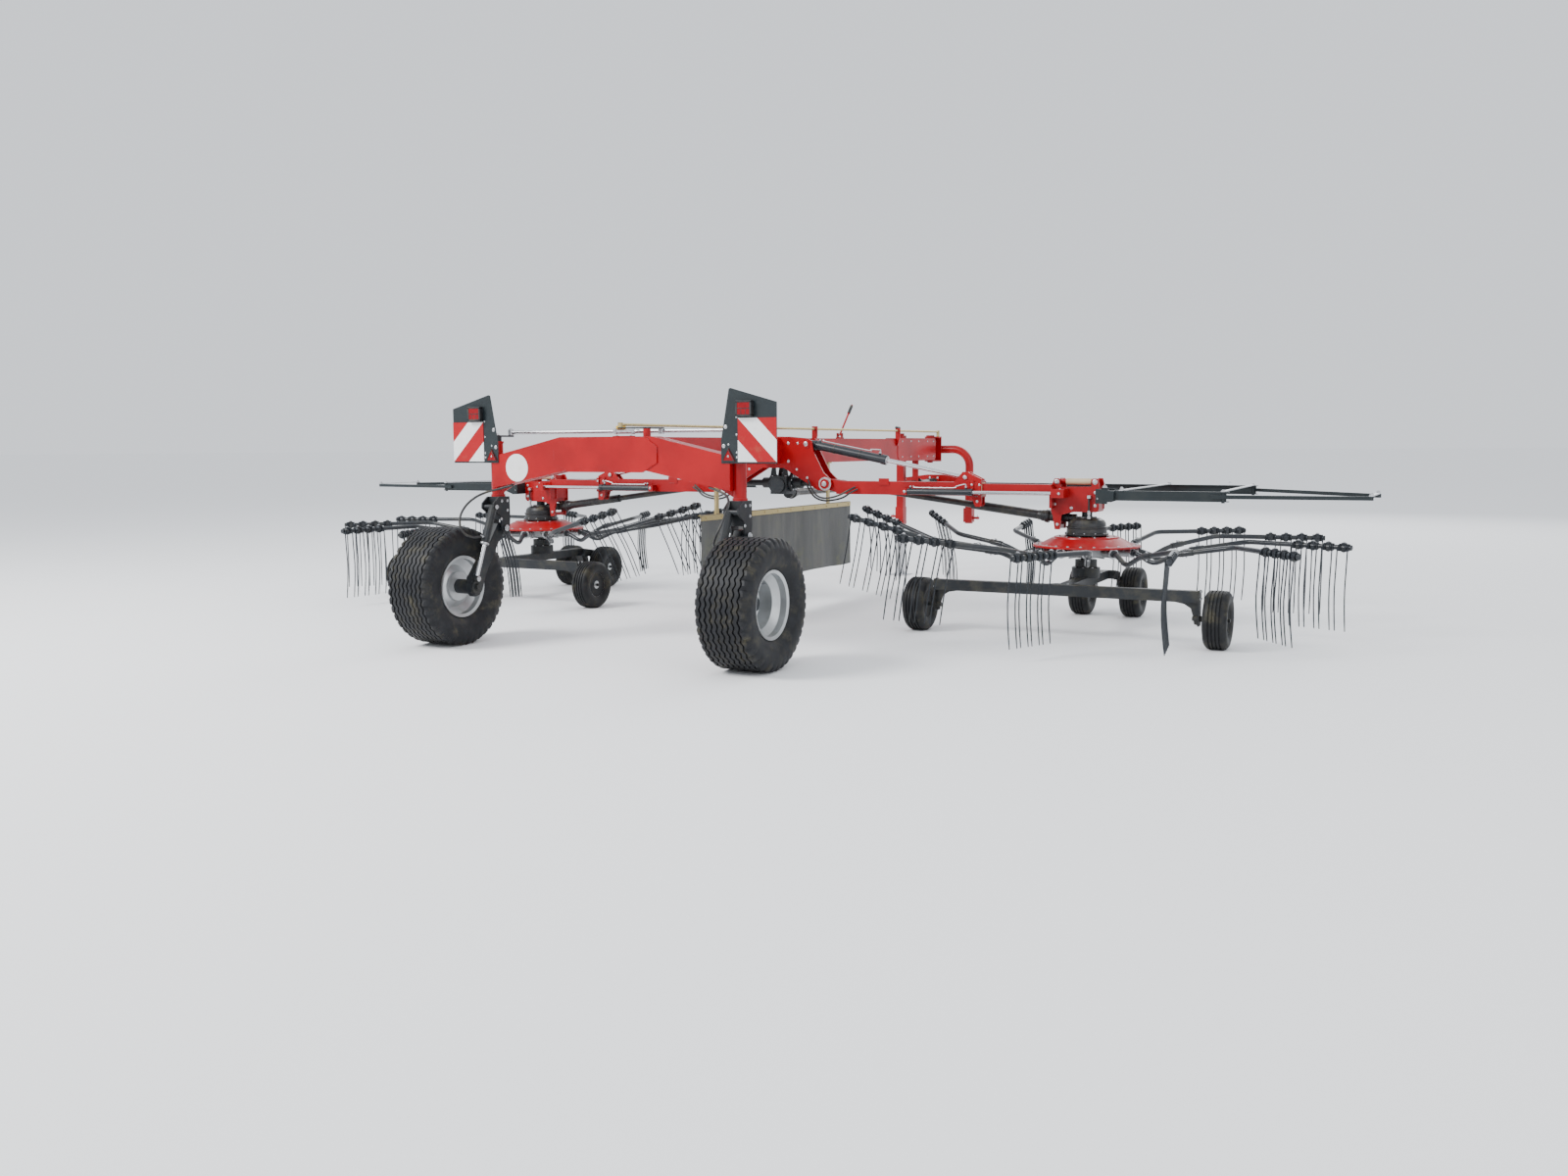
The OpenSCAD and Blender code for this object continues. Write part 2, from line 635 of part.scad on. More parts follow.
// swivel plates, a bent tube whose legs hold the link pins, and the cross plate of the input bearing
module headstock() {
  plate_t = 16;
  plate_half = 62;
  bow_z = 1372;
  corner = 190;
  plate_low = beam_bottom - 12 - seat_gap - plate_t;
  plate_high = beam_top + 14 + seat_gap;
  cross = [
    [-leg_gap_half, drive_z + 40], [-leg_gap_half, drive_z - 40], [-120, drive_z - 70],
    [-70, drive_z - 110],
    [70, drive_z - 110], [120, drive_z - 70], [leg_gap_half, drive_z - 40], [leg_gap_half, drive_z + 40],
    [90, drive_z + 80], [-90, drive_z + 80]
  ];
  shoe = [
    [leg_gap_half - bow_r - 4, link_pin_z + 110], [leg_gap_half - bow_r - 4, link_pin_z - 46],
    [leg_gap_half + bow_r + 4, link_pin_z - 46], [leg_gap_half + bow_r + 4, link_pin_z + 110]
  ];
  color("firebrick")
    difference() {
      union() {
        for (z = [plate_low, plate_high])
          hull() {
            translate([0, swivel_y, z]) cylinder(h = plate_t, r = plate_half, $fn = 32);
            translate([-plate_half - 30, swivel_y + 104, z]) cube([plate_half * 2 + 60, 6, plate_t]);
          }
        z_rod(plate_low - 14, plate_high + plate_t + 14, 0, swivel_y, swivel_r);
        z_rod(plate_high + plate_t, plate_high + plate_t + 12, 0, swivel_y, 46);
        block([-plate_half - 30, swivel_y + 98, plate_low],
              [plate_half + 30, swivel_y + 112, plate_high + plate_t]);
        for (s = [-1, 1])
          translate([s * 66 - 6, 0, 0])
            rotate([90, 0, 90]) linear_extrude(12)
              polygon([[swivel_y + 106, plate_low + 4], [bow_y - 20, bow_z - 60], [bow_y + 20, bow_z - 20],
                       [bow_y + 10, bow_z + 40], [bow_y - 40, plate_high + plate_t - 4],
                       [swivel_y + 106, plate_high + plate_t - 4]]);
        block([0, swivel_y - 18, plate_high], [long_rod_x + 18, swivel_y + 18, plate_high + plate_t]);
        x_rod(-leg_gap_half + corner, leg_gap_half - corner, bow_y, bow_z, bow_r);
        for (s = [-1, 1])
          mirror([s < 0 ? 1 : 0, 0, 0]) {
            translate([leg_gap_half - corner, bow_y, bow_z - corner])
              rotate([90, 0, 0])
                rotate_extrude(angle = 90, $fn = fine)
                  translate([corner, 0]) circle(r = bow_r);
            z_rod(link_pin_z - 60, bow_z - corner, leg_gap_half, bow_y, bow_r);
            xz_plate(shoe, bow_y, bow_r * 2 + 8);
            x_rod(leg_gap_half, leg_gap_half + bow_r + 75, bow_y, link_pin_z, link_pin_r);
            x_rod(leg_gap_half, leg_gap_half + bow_r + 8, bow_y, link_pin_z, 26);
          }
        block([-plate_half - 4, swivel_y + 100, bow_z - 60], [plate_half + 4, bow_y, bow_z - 40]);
        xz_plate(cross, bow_y, 20);
        y_rod(bow_y - 34, bow_y + 34, 0, drive_z, 66);
      }
      y_rod(bow_y - 40, bow_y + 40, 0, drive_z, 42);
    }
}

module drive_input() {
  color("silver") {
    y_rod(swivel_y + 46 + seat_gap, nose_y, 0, drive_z, input_r);
    y_rod(bow_y - 40, nose_y - input_free, 0, drive_z, 42 - fit_gap);
  }
}

module steering_rod() {
  arm_z = beam_top + 14 + seat_gap + 16 + seat_gap;
  color("goldenrod")
    difference() {
      union() {
        y_rod(arch_y, swivel_y, long_rod_x, long_rod_z, long_rod_r);
        z_rod(crank_z + crank_t / 2 + seat_gap, long_rod_z + 14, long_rod_x, arch_y, 17);
        z_rod(arm_z, long_rod_z + 14, long_rod_x, swivel_y, 17);
      }
    }
}

module bell_crank() {
  color("dimgray") {
    translate([0, 0, crank_z - crank_t / 2])
      linear_extrude(crank_t)
        union() {
          hull() {
            translate([crank_x, arch_y]) circle(r = 30, $fn = 32);
            translate([crank_x - crank_reach, arch_y]) circle(r = 20, $fn = 32);
          }
          hull() {
            translate([crank_x, arch_y]) circle(r = 30, $fn = 32);
            translate([crank_x, arch_y + crank_arm]) circle(r = 20, $fn = 32);
          }
        }
    z_rod(beam_top - 28, crank_z, crank_x, arch_y, 10);
  }
}

module track_rod() {
  y = kingpin_y + steer_arm;
  color("silver") {
    x_rod(-kingpin_x, kingpin_x, y, track_rod_z, track_rod_r);
    for (s = [-1, 1])
      z_rod(track_rod_z - 20, track_rod_z + 20, s * kingpin_x, y, 21);
    z_rod(track_rod_z - 20, crank_z - crank_t / 2 - seat_gap, crank_x, y, 22);
  }
}

// steered leg: kingpin, box column, hanging plates, wheel arm, stub axle and leg cylinder
module right_leg() {
  box_x = 92;
  box_y = 104;
  leg_low = 800;
  leg_high = sleeve_low - seat_gap;
  arm_t = 46;
  arm_x0 = kingpin_x - arm_t / 2;
  plate_t = 12;
  pivot_z = 838;
  hub_z = tyre_r;
  hub_end = wheel_x - tyre_w * 0.17 - 40 - seat_gap;
  cyl_x = arm_x0 - 8;
  cyl_top = [cyl_x, kingpin_y - 96, 990];
  cyl_foot = [cyl_x, axle_y - 10, hub_z + 62];
  cheek = [
    [kingpin_y + 56, leg_high], [kingpin_y + 58, pivot_z + 60], [kingpin_y + 46, pivot_z - 40],
    [kingpin_y + 10, pivot_z - 58],
    [kingpin_y - 26, pivot_z - 30], [kingpin_y - 52, pivot_z + 90], [kingpin_y - 124, 980],
    [kingpin_y - 120, 1016],
    [kingpin_y - 60, leg_high]
  ];
  arm = [
    [kingpin_y + 30, pivot_z + 34], [kingpin_y + 42, pivot_z], [kingpin_y + 20, pivot_z - 40],
    [kingpin_y - 40, pivot_z - 110], [axle_y + 108, hub_z + 90], [axle_y + 62, hub_z - 24],
    [axle_y + 30, hub_z - 60],
    [axle_y - 20, hub_z - 66], [axle_y - 56, hub_z - 30], [axle_y - 56, hub_z + 34],
    [axle_y - 30, hub_z + 90],
    [kingpin_y - 130, pivot_z - 90], [kingpin_y - 40, pivot_z + 30]
  ];
  color("dimgray") {
    block([kingpin_x - box_x / 2, kingpin_y - box_y / 2, pivot_z + 60],
          [kingpin_x + box_x / 2, kingpin_y + box_y / 2, leg_high]);
    for (s = [-1, 1])
      translate([kingpin_x + s * (box_x / 2 + plate_t / 2 - 1) - plate_t / 2, 0, 0])
        rotate([90, 0, 90]) linear_extrude(plate_t) polygon(cheek);
    x_rod(kingpin_x - box_x / 2 - 22, kingpin_x + box_x / 2 + 22, kingpin_y + 4, pivot_z - 6, 20);
    z_rod(leg_high - 20, sleeve_high + seat_gap + 4, kingpin_x, kingpin_y, kingpin_r);
    z_rod(sleeve_high + seat_gap, steer_plate_z + steer_plate_t, kingpin_x, kingpin_y, kingpin_r + 6);
    translate([0, 0, steer_plate_z])
      linear_extrude(steer_plate_t)
        hull() {
          translate([kingpin_x, kingpin_y]) circle(r = 36, $fn = 32);
          translate([kingpin_x, kingpin_y + steer_arm]) circle(r = 22, $fn = 32);
        }
    translate([arm_x0, 0, 0])
      rotate([90, 0, 90]) linear_extrude(arm_t) polygon(arm);
    x_rod(arm_x0 - 14, wheel_x + 24, axle_y, hub_z, hub_bore_r);
    x_rod(arm_x0 - 10, hub_end, axle_y, hub_z, 52);
    x_rod(arm_x0 - 26, arm_x0 - 8, axle_y, hub_z, 26, 6);
    bar(cyl_top, cyl_top + (cyl_foot - cyl_top) * 0.52, 30, 12);
    bar(cyl_top, cyl_foot, 15, 12);
    x_rod(cyl_x - 24, kingpin_x + 40, cyl_foot[1], cyl_foot[2], 22);
    x_rod(cyl_x - 34, kingpin_x + 52, cyl_top[1], cyl_top[2], 18);
  }
}

// a lathed tyre with its axle along X
module tyre(x, y, r, w, bead, shoulder) {
  h = w / 2;
  outline = [
    [bead, -h * 0.62], [bead + (r - bead) * 0.35, -h * 0.98], [r - shoulder * 1.4, -h],
    [r - shoulder * 0.4, -h * 0.93], [r, -h * 0.7], [r, h * 0.7], [r - shoulder * 0.4, h * 0.93],
    [r - shoulder * 1.4, h], [bead + (r - bead) * 0.35, h * 0.98], [bead, h * 0.62]
  ];
  translate([x, y, r]) rotate([0, 90, 0]) rotate_extrude($fn = 96) polygon(outline);
}

module right_tyre() {
  color("black") tyre(wheel_x, axle_y, tyre_r, tyre_w, rim_r - 12, 40);
}

// drop-centre rim with its disc set deep towards the inner side
module right_rim() {
  h = tyre_w / 2;
  w = 9;
  b = rim_r - 12 - seat_gap;
  well = b * 0.8;
  disc = -h * 0.34;
  pad = hub_pad_r;
  color("silver")
    translate([wheel_x, axle_y, tyre_r]) rotate([0, 90, 0])
      rotate_extrude($fn = 96) polygon([
        [hub_bore_r + fit_gap, disc - 40], [pad, disc - 40], [pad + 8, disc - 14], [well - 60, disc - 22],
        [well - w - 4, disc + 10], [well - w, -h * 0.3], [b - w, -h * 0.5], [b - w, -h * 0.74],
        [rim_r, -h * 0.78],
        [rim_r, -h * 0.69], [b, -h * 0.66], [b, -h * 0.5], [well, -h * 0.28], [well, h * 0.26],
        [b, h * 0.48],
        [b, h * 0.66], [rim_r, h * 0.69], [rim_r, h * 0.78], [b - w, h * 0.74], [b - w, h * 0.5],
        [well - w, h * 0.3], [well - w, disc + 26], [well - 60, disc - 12], [pad + 8, disc - 2],
        [pad, disc + 6], [62, disc + 6], [58, disc + 44], [50, disc + 62], [hub_bore_r + fit_gap, disc + 62]
      ]);
}

// outer boom tube from its hinge fork to the collar that guides the inner tube
module right_boom() {
  half = boom_size / 2;
  bore = slide_size / 2 + 0.5;
  fork_end = hinge_x + 150;
  ear_y = 26;
  ear_t = 14;
  collar = 10;
  post = [
    [boom_end_x - 86, boom_z - half - collar + 2], [boom_end_x, boom_z - half - collar + 2],
    [boom_end_x, 948], [boom_end_x - 12, 930], [boom_end_x - 52, 930], [boom_end_x - 62, 948]
  ];
  ear = [
    [boom_end_x - 240, boom_z + half - 4], [boom_end_x - 4, boom_z + half - 4],
    [boom_end_x - 4, boom_z + half + 26],
    [boom_end_x - 96, lift_eye_z + 30], [lift_eye_x + 22, lift_eye_z + 44],
    [lift_eye_x - 22, lift_eye_z + 44],
    [lift_eye_x - 46, lift_eye_z + 16]
  ];
  color("firebrick")
    difference() {
      union() {
        block([fork_end - 60, boom_y - half, boom_z - half], [boom_end_x, boom_y + half, boom_z + half]);
        xz_plate([[hinge_x, hinge_z + 44], [hinge_x - 44, hinge_z], [hinge_x, hinge_z - 44],
                  [fork_end, boom_z - half], [fork_end + 60, boom_z - half], [fork_end + 60, boom_z + half],
                  [fork_end, boom_z + half]], boom_y, half * 2);
        y_rod(boom_y - half, boom_y + half, hinge_x, hinge_z, 44);
        for (x = [boom_end_x - 90, boom_end_x - 26])
          block([x, boom_y - half - collar, boom_z - half - collar],
                [x + 26, boom_y + half + collar, boom_z + half + collar]);
        for (s = [-1, 1])
          xz_plate(post, boom_y + s * 38, 10);
        block([boom_end_x - 58, boom_y - 40, 936], [boom_end_x - 8, boom_y + 40, 950]);
        for (s = [-1, 1])
          xz_plate(ear, boom_y + s * (ear_y + ear_t / 2), ear_t);
        for (s = [-1, 1])
          y_rod(boom_y + s * (ear_y + ear_t + 3) - 5, boom_y + s * (ear_y + ear_t + 3) + 5, lift_eye_x,
                lift_eye_z, 20);
        for (s = [-1, 1])
          block([width_start_x - 34, width_y + s * 22 - 4, width_z - 28],
                [width_start_x + 8, width_y + s * 22 + 4, width_z + 28]);
        block([width_start_x - 34, width_y - 26, width_z - 28],
              [width_start_x - 26, boom_y - half + 2, width_z + 28]);
        block([width_start_x - 40, width_y + 16, width_z - 30],
              [width_start_x + 8, boom_y - half + 2, width_z + 20]);
        block([fork_end + 330, boom_y - half - 8, boom_z + half - 30],
              [fork_end + 420, boom_y - half + 2, boom_z + half + 26]);
      }
      y_rod(boom_y - half - 5, boom_y + half + 5, hinge_x, hinge_z, hinge_pin_r + fit_gap);
      block([hinge_x + 100, boom_y - bore, boom_z - bore], [boom_end_x + 5, boom_y + bore, boom_z + bore]);
      y_rod(width_y - 40, width_y + 14, width_start_x - 8, width_z, width_pin_r + fit_gap);
    }
}

// lift cylinder lying from its base pin to its eye on the boom
module on_lift_line() {
  translate([lift_base_x, boom_y, lift_base_z]) rotate([0, -lift_deg, 0]) children();
}

module right_lift_barrel() {
  pin = lift_pin_r + fit_gap;
  color("black")
    on_lift_line()
      difference() {
        union() {
          y_rod(-30, 30, 0, 0, lift_eye_r);
          x_rod(20, lift_barrel_len, 0, 0, lift_barrel_r);
          x_rod(lift_barrel_len - 44, lift_barrel_len, 0, 0, lift_barrel_r + 5);
          x_rod(44, 66, 0, 0, lift_barrel_r + 4);
          for (x = [90, lift_barrel_len - 70])
            z_rod(lift_barrel_r - 4, lift_barrel_r + 16, x, 0, 11);
        }
        y_rod(-40, 40, 0, 0, pin);
        x_rod(44, lift_barrel_len + 5, 0, 0, lift_rod_r + fit_gap);
      }
}

module right_lift_rod() {
  color("silver")
    on_lift_line() {
      x_rod(lift_len - 820, lift_len, 0, 0, lift_rod_r);
      y_rod(-25, 25, lift_len, 0, 28);
    }
}

module right_width_barrel() {
  color("black")
    difference() {
      union() {
        x_rod(width_start_x + 12, width_barrel_end_x, width_y, width_z, width_barrel_r);
        x_rod(width_barrel_end_x - 34, width_barrel_end_x, width_y, width_z, width_barrel_r + 4);
        y_rod(width_y - 18 + seat_gap, width_y + 16 - seat_gap, width_start_x - 8, width_z, 17);
        x_rod(width_start_x - 8, width_start_x + 20, width_y, width_z, 12);
        y_rod(width_y - 26, width_y + 16 - seat_gap, width_start_x - 8, width_z, width_pin_r);
        for (x = [width_start_x + 34, width_barrel_end_x - 54])
          z_rod(width_z + width_barrel_r - 4, width_z + width_barrel_r + 14, x, width_y, 9);
      }
      x_rod(width_start_x + 20, width_barrel_end_x + 5, width_y, width_z, width_rod_r + fit_gap);
    }
}

module right_width_rod() {
  color("silver") {
    x_rod(width_eye_x - 730, width_eye_x, width_y, width_z, width_rod_r);
    y_rod(width_y - 22 + seat_gap, width_y + 22 - seat_gap, width_eye_x, width_z, 24);
    y_rod(width_y - 34, width_y + 34, width_eye_x, width_z, width_pin_r);
  }
}

// a welded box between two shaped cheeks, with the tapering leg on its inner side
module right_head() {
  half = slide_size / 2;
  cheek_t = 14;
  depth = 92;
  left = rotor_x - 262;
  right = rotor_x + 112;
  ear_top = head_high + 66;
  cheek = [
    [left, head_low + 12], [left, head_high + 8], [left + 26, ear_top], [left + 62, ear_top],
    [left + 76, head_high],
    [right - 62, head_high], [right - 52, ear_top], [right - 16, ear_top], [right, head_high + 10],
    [right, head_low + 22], [right - 22, head_low], [rotor_x - 96, head_low],
    [rotor_x - 176, head_low - 24],
    [left + 74, leg_low], [left + 34, leg_low], [left + 16, head_low - 30]
  ];
  color("firebrick")
    difference() {
      union() {
        block([boom_end_x - 720, boom_y - half, boom_z - half], [left + 20, boom_y + half, boom_z + half]);
        for (s = [-1, 1])
          xz_plate(cheek, rotor_y + s * (depth - cheek_t / 2), cheek_t);
        block([left + 8, boom_y - half - 8, head_low + 30], [left + 30, rotor_y + depth - 4, head_high]);
        block([left + 20, rotor_y - depth + cheek_t - 4, head_low + 4],
              [right - 6, rotor_y + depth - cheek_t + 4, head_high - 8]);
        block([left + 40, rotor_y - depth + 6, leg_low + 6],
              [left + 68, rotor_y + depth - 6, leg_low + 36]);
        block([left + 8, boom_y - half - 8, boom_z - half], [left + 120, rotor_y - depth + 6, boom_z - 10]);
        x_rod(left + 44, right - 34, rotor_y, ear_top - 26, 21);
        for (x = [left + 40, right - 46])
          block([x, rotor_y - depth + 6, head_high - 10], [x + 12, rotor_y + depth - 6, ear_top - 6]);
        for (s = [-1, 1])
          block([width_eye_x - 64, width_y + s * 26 - 4, width_z - 34],
                [width_eye_x + 26, width_y + s * 26 + 4, width_z + 34]);
        block([width_eye_x + 26, width_y - 30, width_z - 34],
              [width_eye_x + 36, rotor_y - depth + 4, width_z + 34]);
      }
      y_rod(width_y - 40, width_y + 40, width_eye_x, width_z, width_pin_r + fit_gap);
      z_rod(head_low - 40, head_low + 40, rotor_x, rotor_y, column_r + seat_gap);
    }
}

// housing of the rotor's gears: stepped rims, a domed top and the neck of the drive input
module right_bell() {
  neck_r = 30;
  outline = [
    [0, bell_low], [bell_r + 10, bell_low], [bell_r + 10, bell_low + 14], [bell_r - 2, bell_low + 18],
    [bell_r - 4, bell_low + 50], [bell_r + 2, bell_low + 54], [bell_r + 2, bell_low + 64],
    [bell_r - 10, bell_low + 68],
    [bell_r - 12, bell_low + 92], [bell_r - 26, bell_high - 26], [bell_r - 56, bell_high - 10],
    [bell_r - 80, bell_high - 8],
    [bell_r - 82, bell_high], [0, bell_high]
  ];
  color("black")
    difference() {
      union() {
        translate([rotor_x, rotor_y, 0])
          rotate_extrude($fn = 96) polygon(outline);
        x_rod(shaft_out_x + joint_r + seat_gap, rotor_x - 80, rotor_y, shaft_out_z, neck_r);
      }
      z_rod(bell_low - 5, bell_high + 25, rotor_x, rotor_y, column_r + seat_gap);
    }
}

// a flat bar of given width between two points of a plan
module strip(p, q, w, z0, z1) {
  d = (q - p) / norm(q - p) * w / 2;
  n = [-d[1], d[0]];
  translate([0, 0, z0])
    linear_extrude(z1 - z0) polygon([p + n - d, p - n - d, q - n + d, q + n + d]);
}

// a channel rail between two points of a plan: a web with two flanges turned to one side
module channel(p, q, z, side) {
  d = (q - p) / norm(q - p);
  n = [-d[1], d[0]] * side;
  strip(p, q, rail_t, z - rail_h / 2, z + rail_h / 2);
  for (low = [z - rail_h / 2, z + rail_h / 2 - rail_t])
    strip(p + n * rail_w / 2, q + n * rail_w / 2, rail_w, low, low + rail_t);
}

// two channel rails from the head, then a light tubular end frame
module right_guard() {
  color("darkslategray") {
    block([guard_seat_x, guard_rear_y - 34, guard_z - 62], [guard_seat_x + 14, rotor_y + 70, guard_z + 48]);
    for (y = [guard_rear_y - 30, rotor_y + 44])
      xz_plate([[guard_seat_x + 10, guard_z - 60], [guard_seat_x + 60, guard_z - 60],
            [guard_root_x, guard_z - 34],
                [guard_root_x, guard_z + 34], [guard_seat_x + 60, guard_z + 46],
                [guard_seat_x + 10, guard_z + 46]], y, 12);
    z_rod(guard_z - 64, guard_z + 60, guard_seat_x + 62, guard_rear_y - 2, 22);
    z_rod(guard_z - 44, guard_z + 44, guard_seat_x + 62, guard_rear_y - 2, 34);
    block([guard_seat_x + 60, guard_rear_y - 24, guard_z - 34],
          [guard_root_x, guard_rear_y + 24, guard_z + 34]);
    channel(guard_rear_in, guard_rear_out, guard_z, 1);
    channel(guard_front_in, guard_front_out, guard_z, -1);
    for (run = [[guard_rear_out, guard_end_rear], [guard_front_out, guard_end_front]])
      strip(run[0] - (run[1] - run[0]) / norm(run[1] - run[0]) * 90, run[1], tube_w, guard_z - tube_w / 2,
            guard_z + tube_w / 2);
    for (p = [guard_rear_out, guard_front_out])
      z_rod(guard_z - rail_h / 2 - 8, guard_z + rail_h / 2, p[0] - 20, p[1], 12);
  }
}

// plated ties: the strut to the front rail, the tie across the rails' ends and the end bar
module right_guard_ties() {
  top = guard_z + rail_h / 2 + seat_gap;
  front_mid = guard_front_in + (guard_front_out - guard_front_in) * strut_share;
  rear_foot = [guard_root_x + 50, guard_rear_y];
  color("silver") {
    strip(rear_foot, front_mid, 34, top, top + 8);
    for (p = [rear_foot, front_mid])
      z_rod(top, top + 20, p[0], p[1], 15);
    strip(guard_rear_out - [20, 0], guard_front_out - [20, 0], 30, top, top + 8);
    strip(guard_end_rear, guard_end_front, 30, guard_z + tube_w / 2 + seat_gap,
          guard_z + tube_w / 2 + seat_gap + 8);
    for (p = [guard_end_rear, guard_end_front])
      z_rod(guard_z + tube_w / 2 + seat_gap, guard_z + tube_w / 2 + 18, p[0], p[1], 13);
  }
}

// carriage under the rotor: rear beam with hooked ends, spine, front fork and the rotor column
module right_carriage() {
  rear_y = rotor_y - carriage_behind;
  front_y = rotor_y + carriage_before;
  low = carriage_top - carriage_h;
  beam_half = 35;
  end_x = carriage_half - small_w / 2 - 50;
  plate_t = 12;
  fork_x = front_half - small_w / 2 - 24;
  hook = [
    [rotor_x + end_x - 190, low + 2], [rotor_x + end_x + 2, low + 2], [rotor_x + end_x + 2, small_r - 46],
    [rotor_x + end_x - 26, small_r - 40], [rotor_x + end_x - 34, small_r + 14],
    [rotor_x + end_x - 52, low - 44],
    [rotor_x + end_x - 96, low - 16]
  ];
  fork = [
    [front_y - 170, carriage_top - 6], [front_y - 20, carriage_top - 30], [front_y + 34, small_r + 46],
    [front_y + 40, small_r - 18], [front_y + 18, small_r - 40], [front_y - 22, small_r - 38],
    [front_y - 44, small_r + 20], [front_y - 110, low - 6], [front_y - 200, low]
  ];
  color("dimgray") {
    block([rotor_x - end_x, rear_y - beam_half, low], [rotor_x + end_x, rear_y + beam_half, carriage_top]);
    for (s = [-1, 1])
      mirror_about(rotor_x, s) {
        block([rotor_x + end_x, rear_y - beam_half - 4, small_r - 50],
              [rotor_x + end_x + plate_t, rear_y + beam_half + 4, carriage_top + 6]);
        xz_plate(hook, rear_y, 12);
        x_rod(rotor_x + end_x - 30, rotor_x + carriage_half + small_w / 2, rear_y, small_r, small_bore_r);
        x_rod(rotor_x + end_x - 24, rotor_x + end_x + 38, rear_y, small_r, 21);
        x_rod(rotor_x + end_x - 40, rotor_x + end_x - 24, rear_y, small_r, 17, 6);
      }
    block([rotor_x - 48, rear_y + beam_half - 4, low + 6], [rotor_x + 48, front_y - 190, carriage_top - 4]);
    for (s = [-1, 1])
      xz_brace(rotor_x + s * 48, rear_y, low + 10, carriage_top - 8);
    block([rotor_x - fork_x, front_y - 204, low + 6], [rotor_x + fork_x, front_y - 178, carriage_top - 4]);
    for (s = [-1, 1])
      translate([rotor_x + s * (fork_x - 6) - 6, 0, 0])
        rotate([90, 0, 90]) linear_extrude(12) polygon(fork);
    x_rod(rotor_x - front_half - small_w / 2, rotor_x + front_half + small_w / 2, front_y, small_r,
          small_bore_r);
    x_rod(rotor_x - fork_x - 18, rotor_x + fork_x + 18, front_y, small_r, 21);
    z_rod(carriage_top - 10, 468, rotor_x, rotor_y, 108);
    z_rod(460, 528, rotor_x, rotor_y, 84);
    z_rod(carriage_top, head_low + 20, rotor_x, rotor_y, column_r);
  }
}

// a flat gusset from the carriage's spine out to its rear beam
module xz_brace(x, y, low, high) {
  side = x > rotor_x ? 1 : -1;
  translate([0, 0, low])
    linear_extrude(high - low)
      polygon([[x - side * 4, y + 30], [x + side * 190, y + 30], [x + side * 170, y + 46],
            [x - side * 4, y + 190]]);
}

// the same piece on either side of a plane across X
module mirror_about(x, s) {
  translate([s < 0 ? 2 * x : 0, 0, 0]) mirror([s < 0 ? 1 : 0, 0, 0]) children();
}

// cast hub with a ribbed belly and a ring of sockets for the arms
module right_rotor_hub() {
  bore = column_r + fit_gap;
  pitch = 360 / arm_count;
  color("silver")
    translate([rotor_x, rotor_y, 0])
      difference() {
        union() {
          rotate_extrude($fn = 96)
            polygon([
              [bore, 545], [96, 545], [110, 552], [128, 566], [262, 570], [272, 578], [272, 628],
              [262, 634],
              [252, disc_top_z - 15 - seat_gap], [234, disc_top_z - 15 - seat_gap], [226, 634], [110, 622],
              [96, disc_top_z - 4], [bore, disc_top_z - 4]
            ]);
          for (k = [0 : arm_count - 1])
            rotate([0, 0, k * pitch + 15]) {
              x_rod(240, socket_out - 16, 0, socket_z, socket_r, 32);
              x_rod(socket_out - 16, socket_out - 9, 0, socket_z, socket_r + 5, 32);
              z_rod(socket_z, disc_rim_z - 5 - seat_gap, disc_bolt_r, 0, disc_post_r, 24);
              translate([150, -5, 552]) cube([110, 10, 22]);
            }
        }
        for (k = [0 : arm_count - 1])
          rotate([0, 0, k * pitch + 15])
            x_rod(300, socket_out + 5, 0, socket_z, arm_root_r + fit_gap, 32);
      }
}

// dished disc over the hub, bolted round its rim and its crown
module right_rotor_disc() {
  t = 5;
  color("firebrick")
    translate([rotor_x, rotor_y, 0])
      rotate_extrude($fn = 120)
        polygon([
          [disc_rim_r, disc_rim_z - t], [disc_rim_r + 4, disc_rim_z - t - 8],
          [disc_rim_r + 8, disc_rim_z - t - 8],
          [disc_rim_r + 8, disc_rim_z - 2], [disc_rim_r + 4, disc_rim_z + 2],
          [disc_rim_r - 44, disc_rim_z + 4],
          [disc_top_r + 18, disc_top_z - 8], [disc_top_r, disc_top_z - 6], [disc_top_r - 4, disc_top_z + 4],
          [disc_top_r - 52, disc_top_z + 6], [disc_top_r - 80, disc_top_z + 6],
          [disc_top_r - 80, disc_top_z],
          [disc_top_r - 52, disc_top_z], [disc_top_r - 12, disc_top_z - 15],
          [disc_top_r + 10, disc_top_z - 15],
          [disc_rim_r - 52, disc_rim_z - t]
        ]);
}

// how far the cam rolls an arm whose root lies at this azimuth on the right-hand rotor
function cam_roll(azimuth) = lift_roll * pow(max(0, cos(azimuth - lift_azimuth)), 2);

// one double tine hung from its coils on a carrier along local X
module double_tine(along, spread, drop) {
  wire = tine_d / 2;
  foot = -drop + tine_bow;
  shape = [
    [-wire, 0], [coil_r - wire, 0], [coil_r - wire, -coil_r * 0.5], [coil_r * 0.5 + tine_bow, foot * 0.55],
    [tine_bow * 0.4 + wire, -drop], [tine_bow * 0.4 - wire, -drop],
    [coil_r * 0.5 + tine_bow - tine_d, foot * 0.55],
    [coil_r - wire - tine_d, -coil_r * 0.6]
  ];
  for (s = [-1, 1]) {
    x_rod(along + s * spread - coil_half, along + s * spread + coil_half, 0, 0, coil_r, 16);
    translate([along + s * spread + tine_d / 2, 0, 0])
      rotate([90, 0, -90]) linear_extrude(tine_d) polygon(shape);
  }
  translate([along - 15, -14, -coil_r - 2]) cube([30, 28, coil_r * 2 + 8]);
}

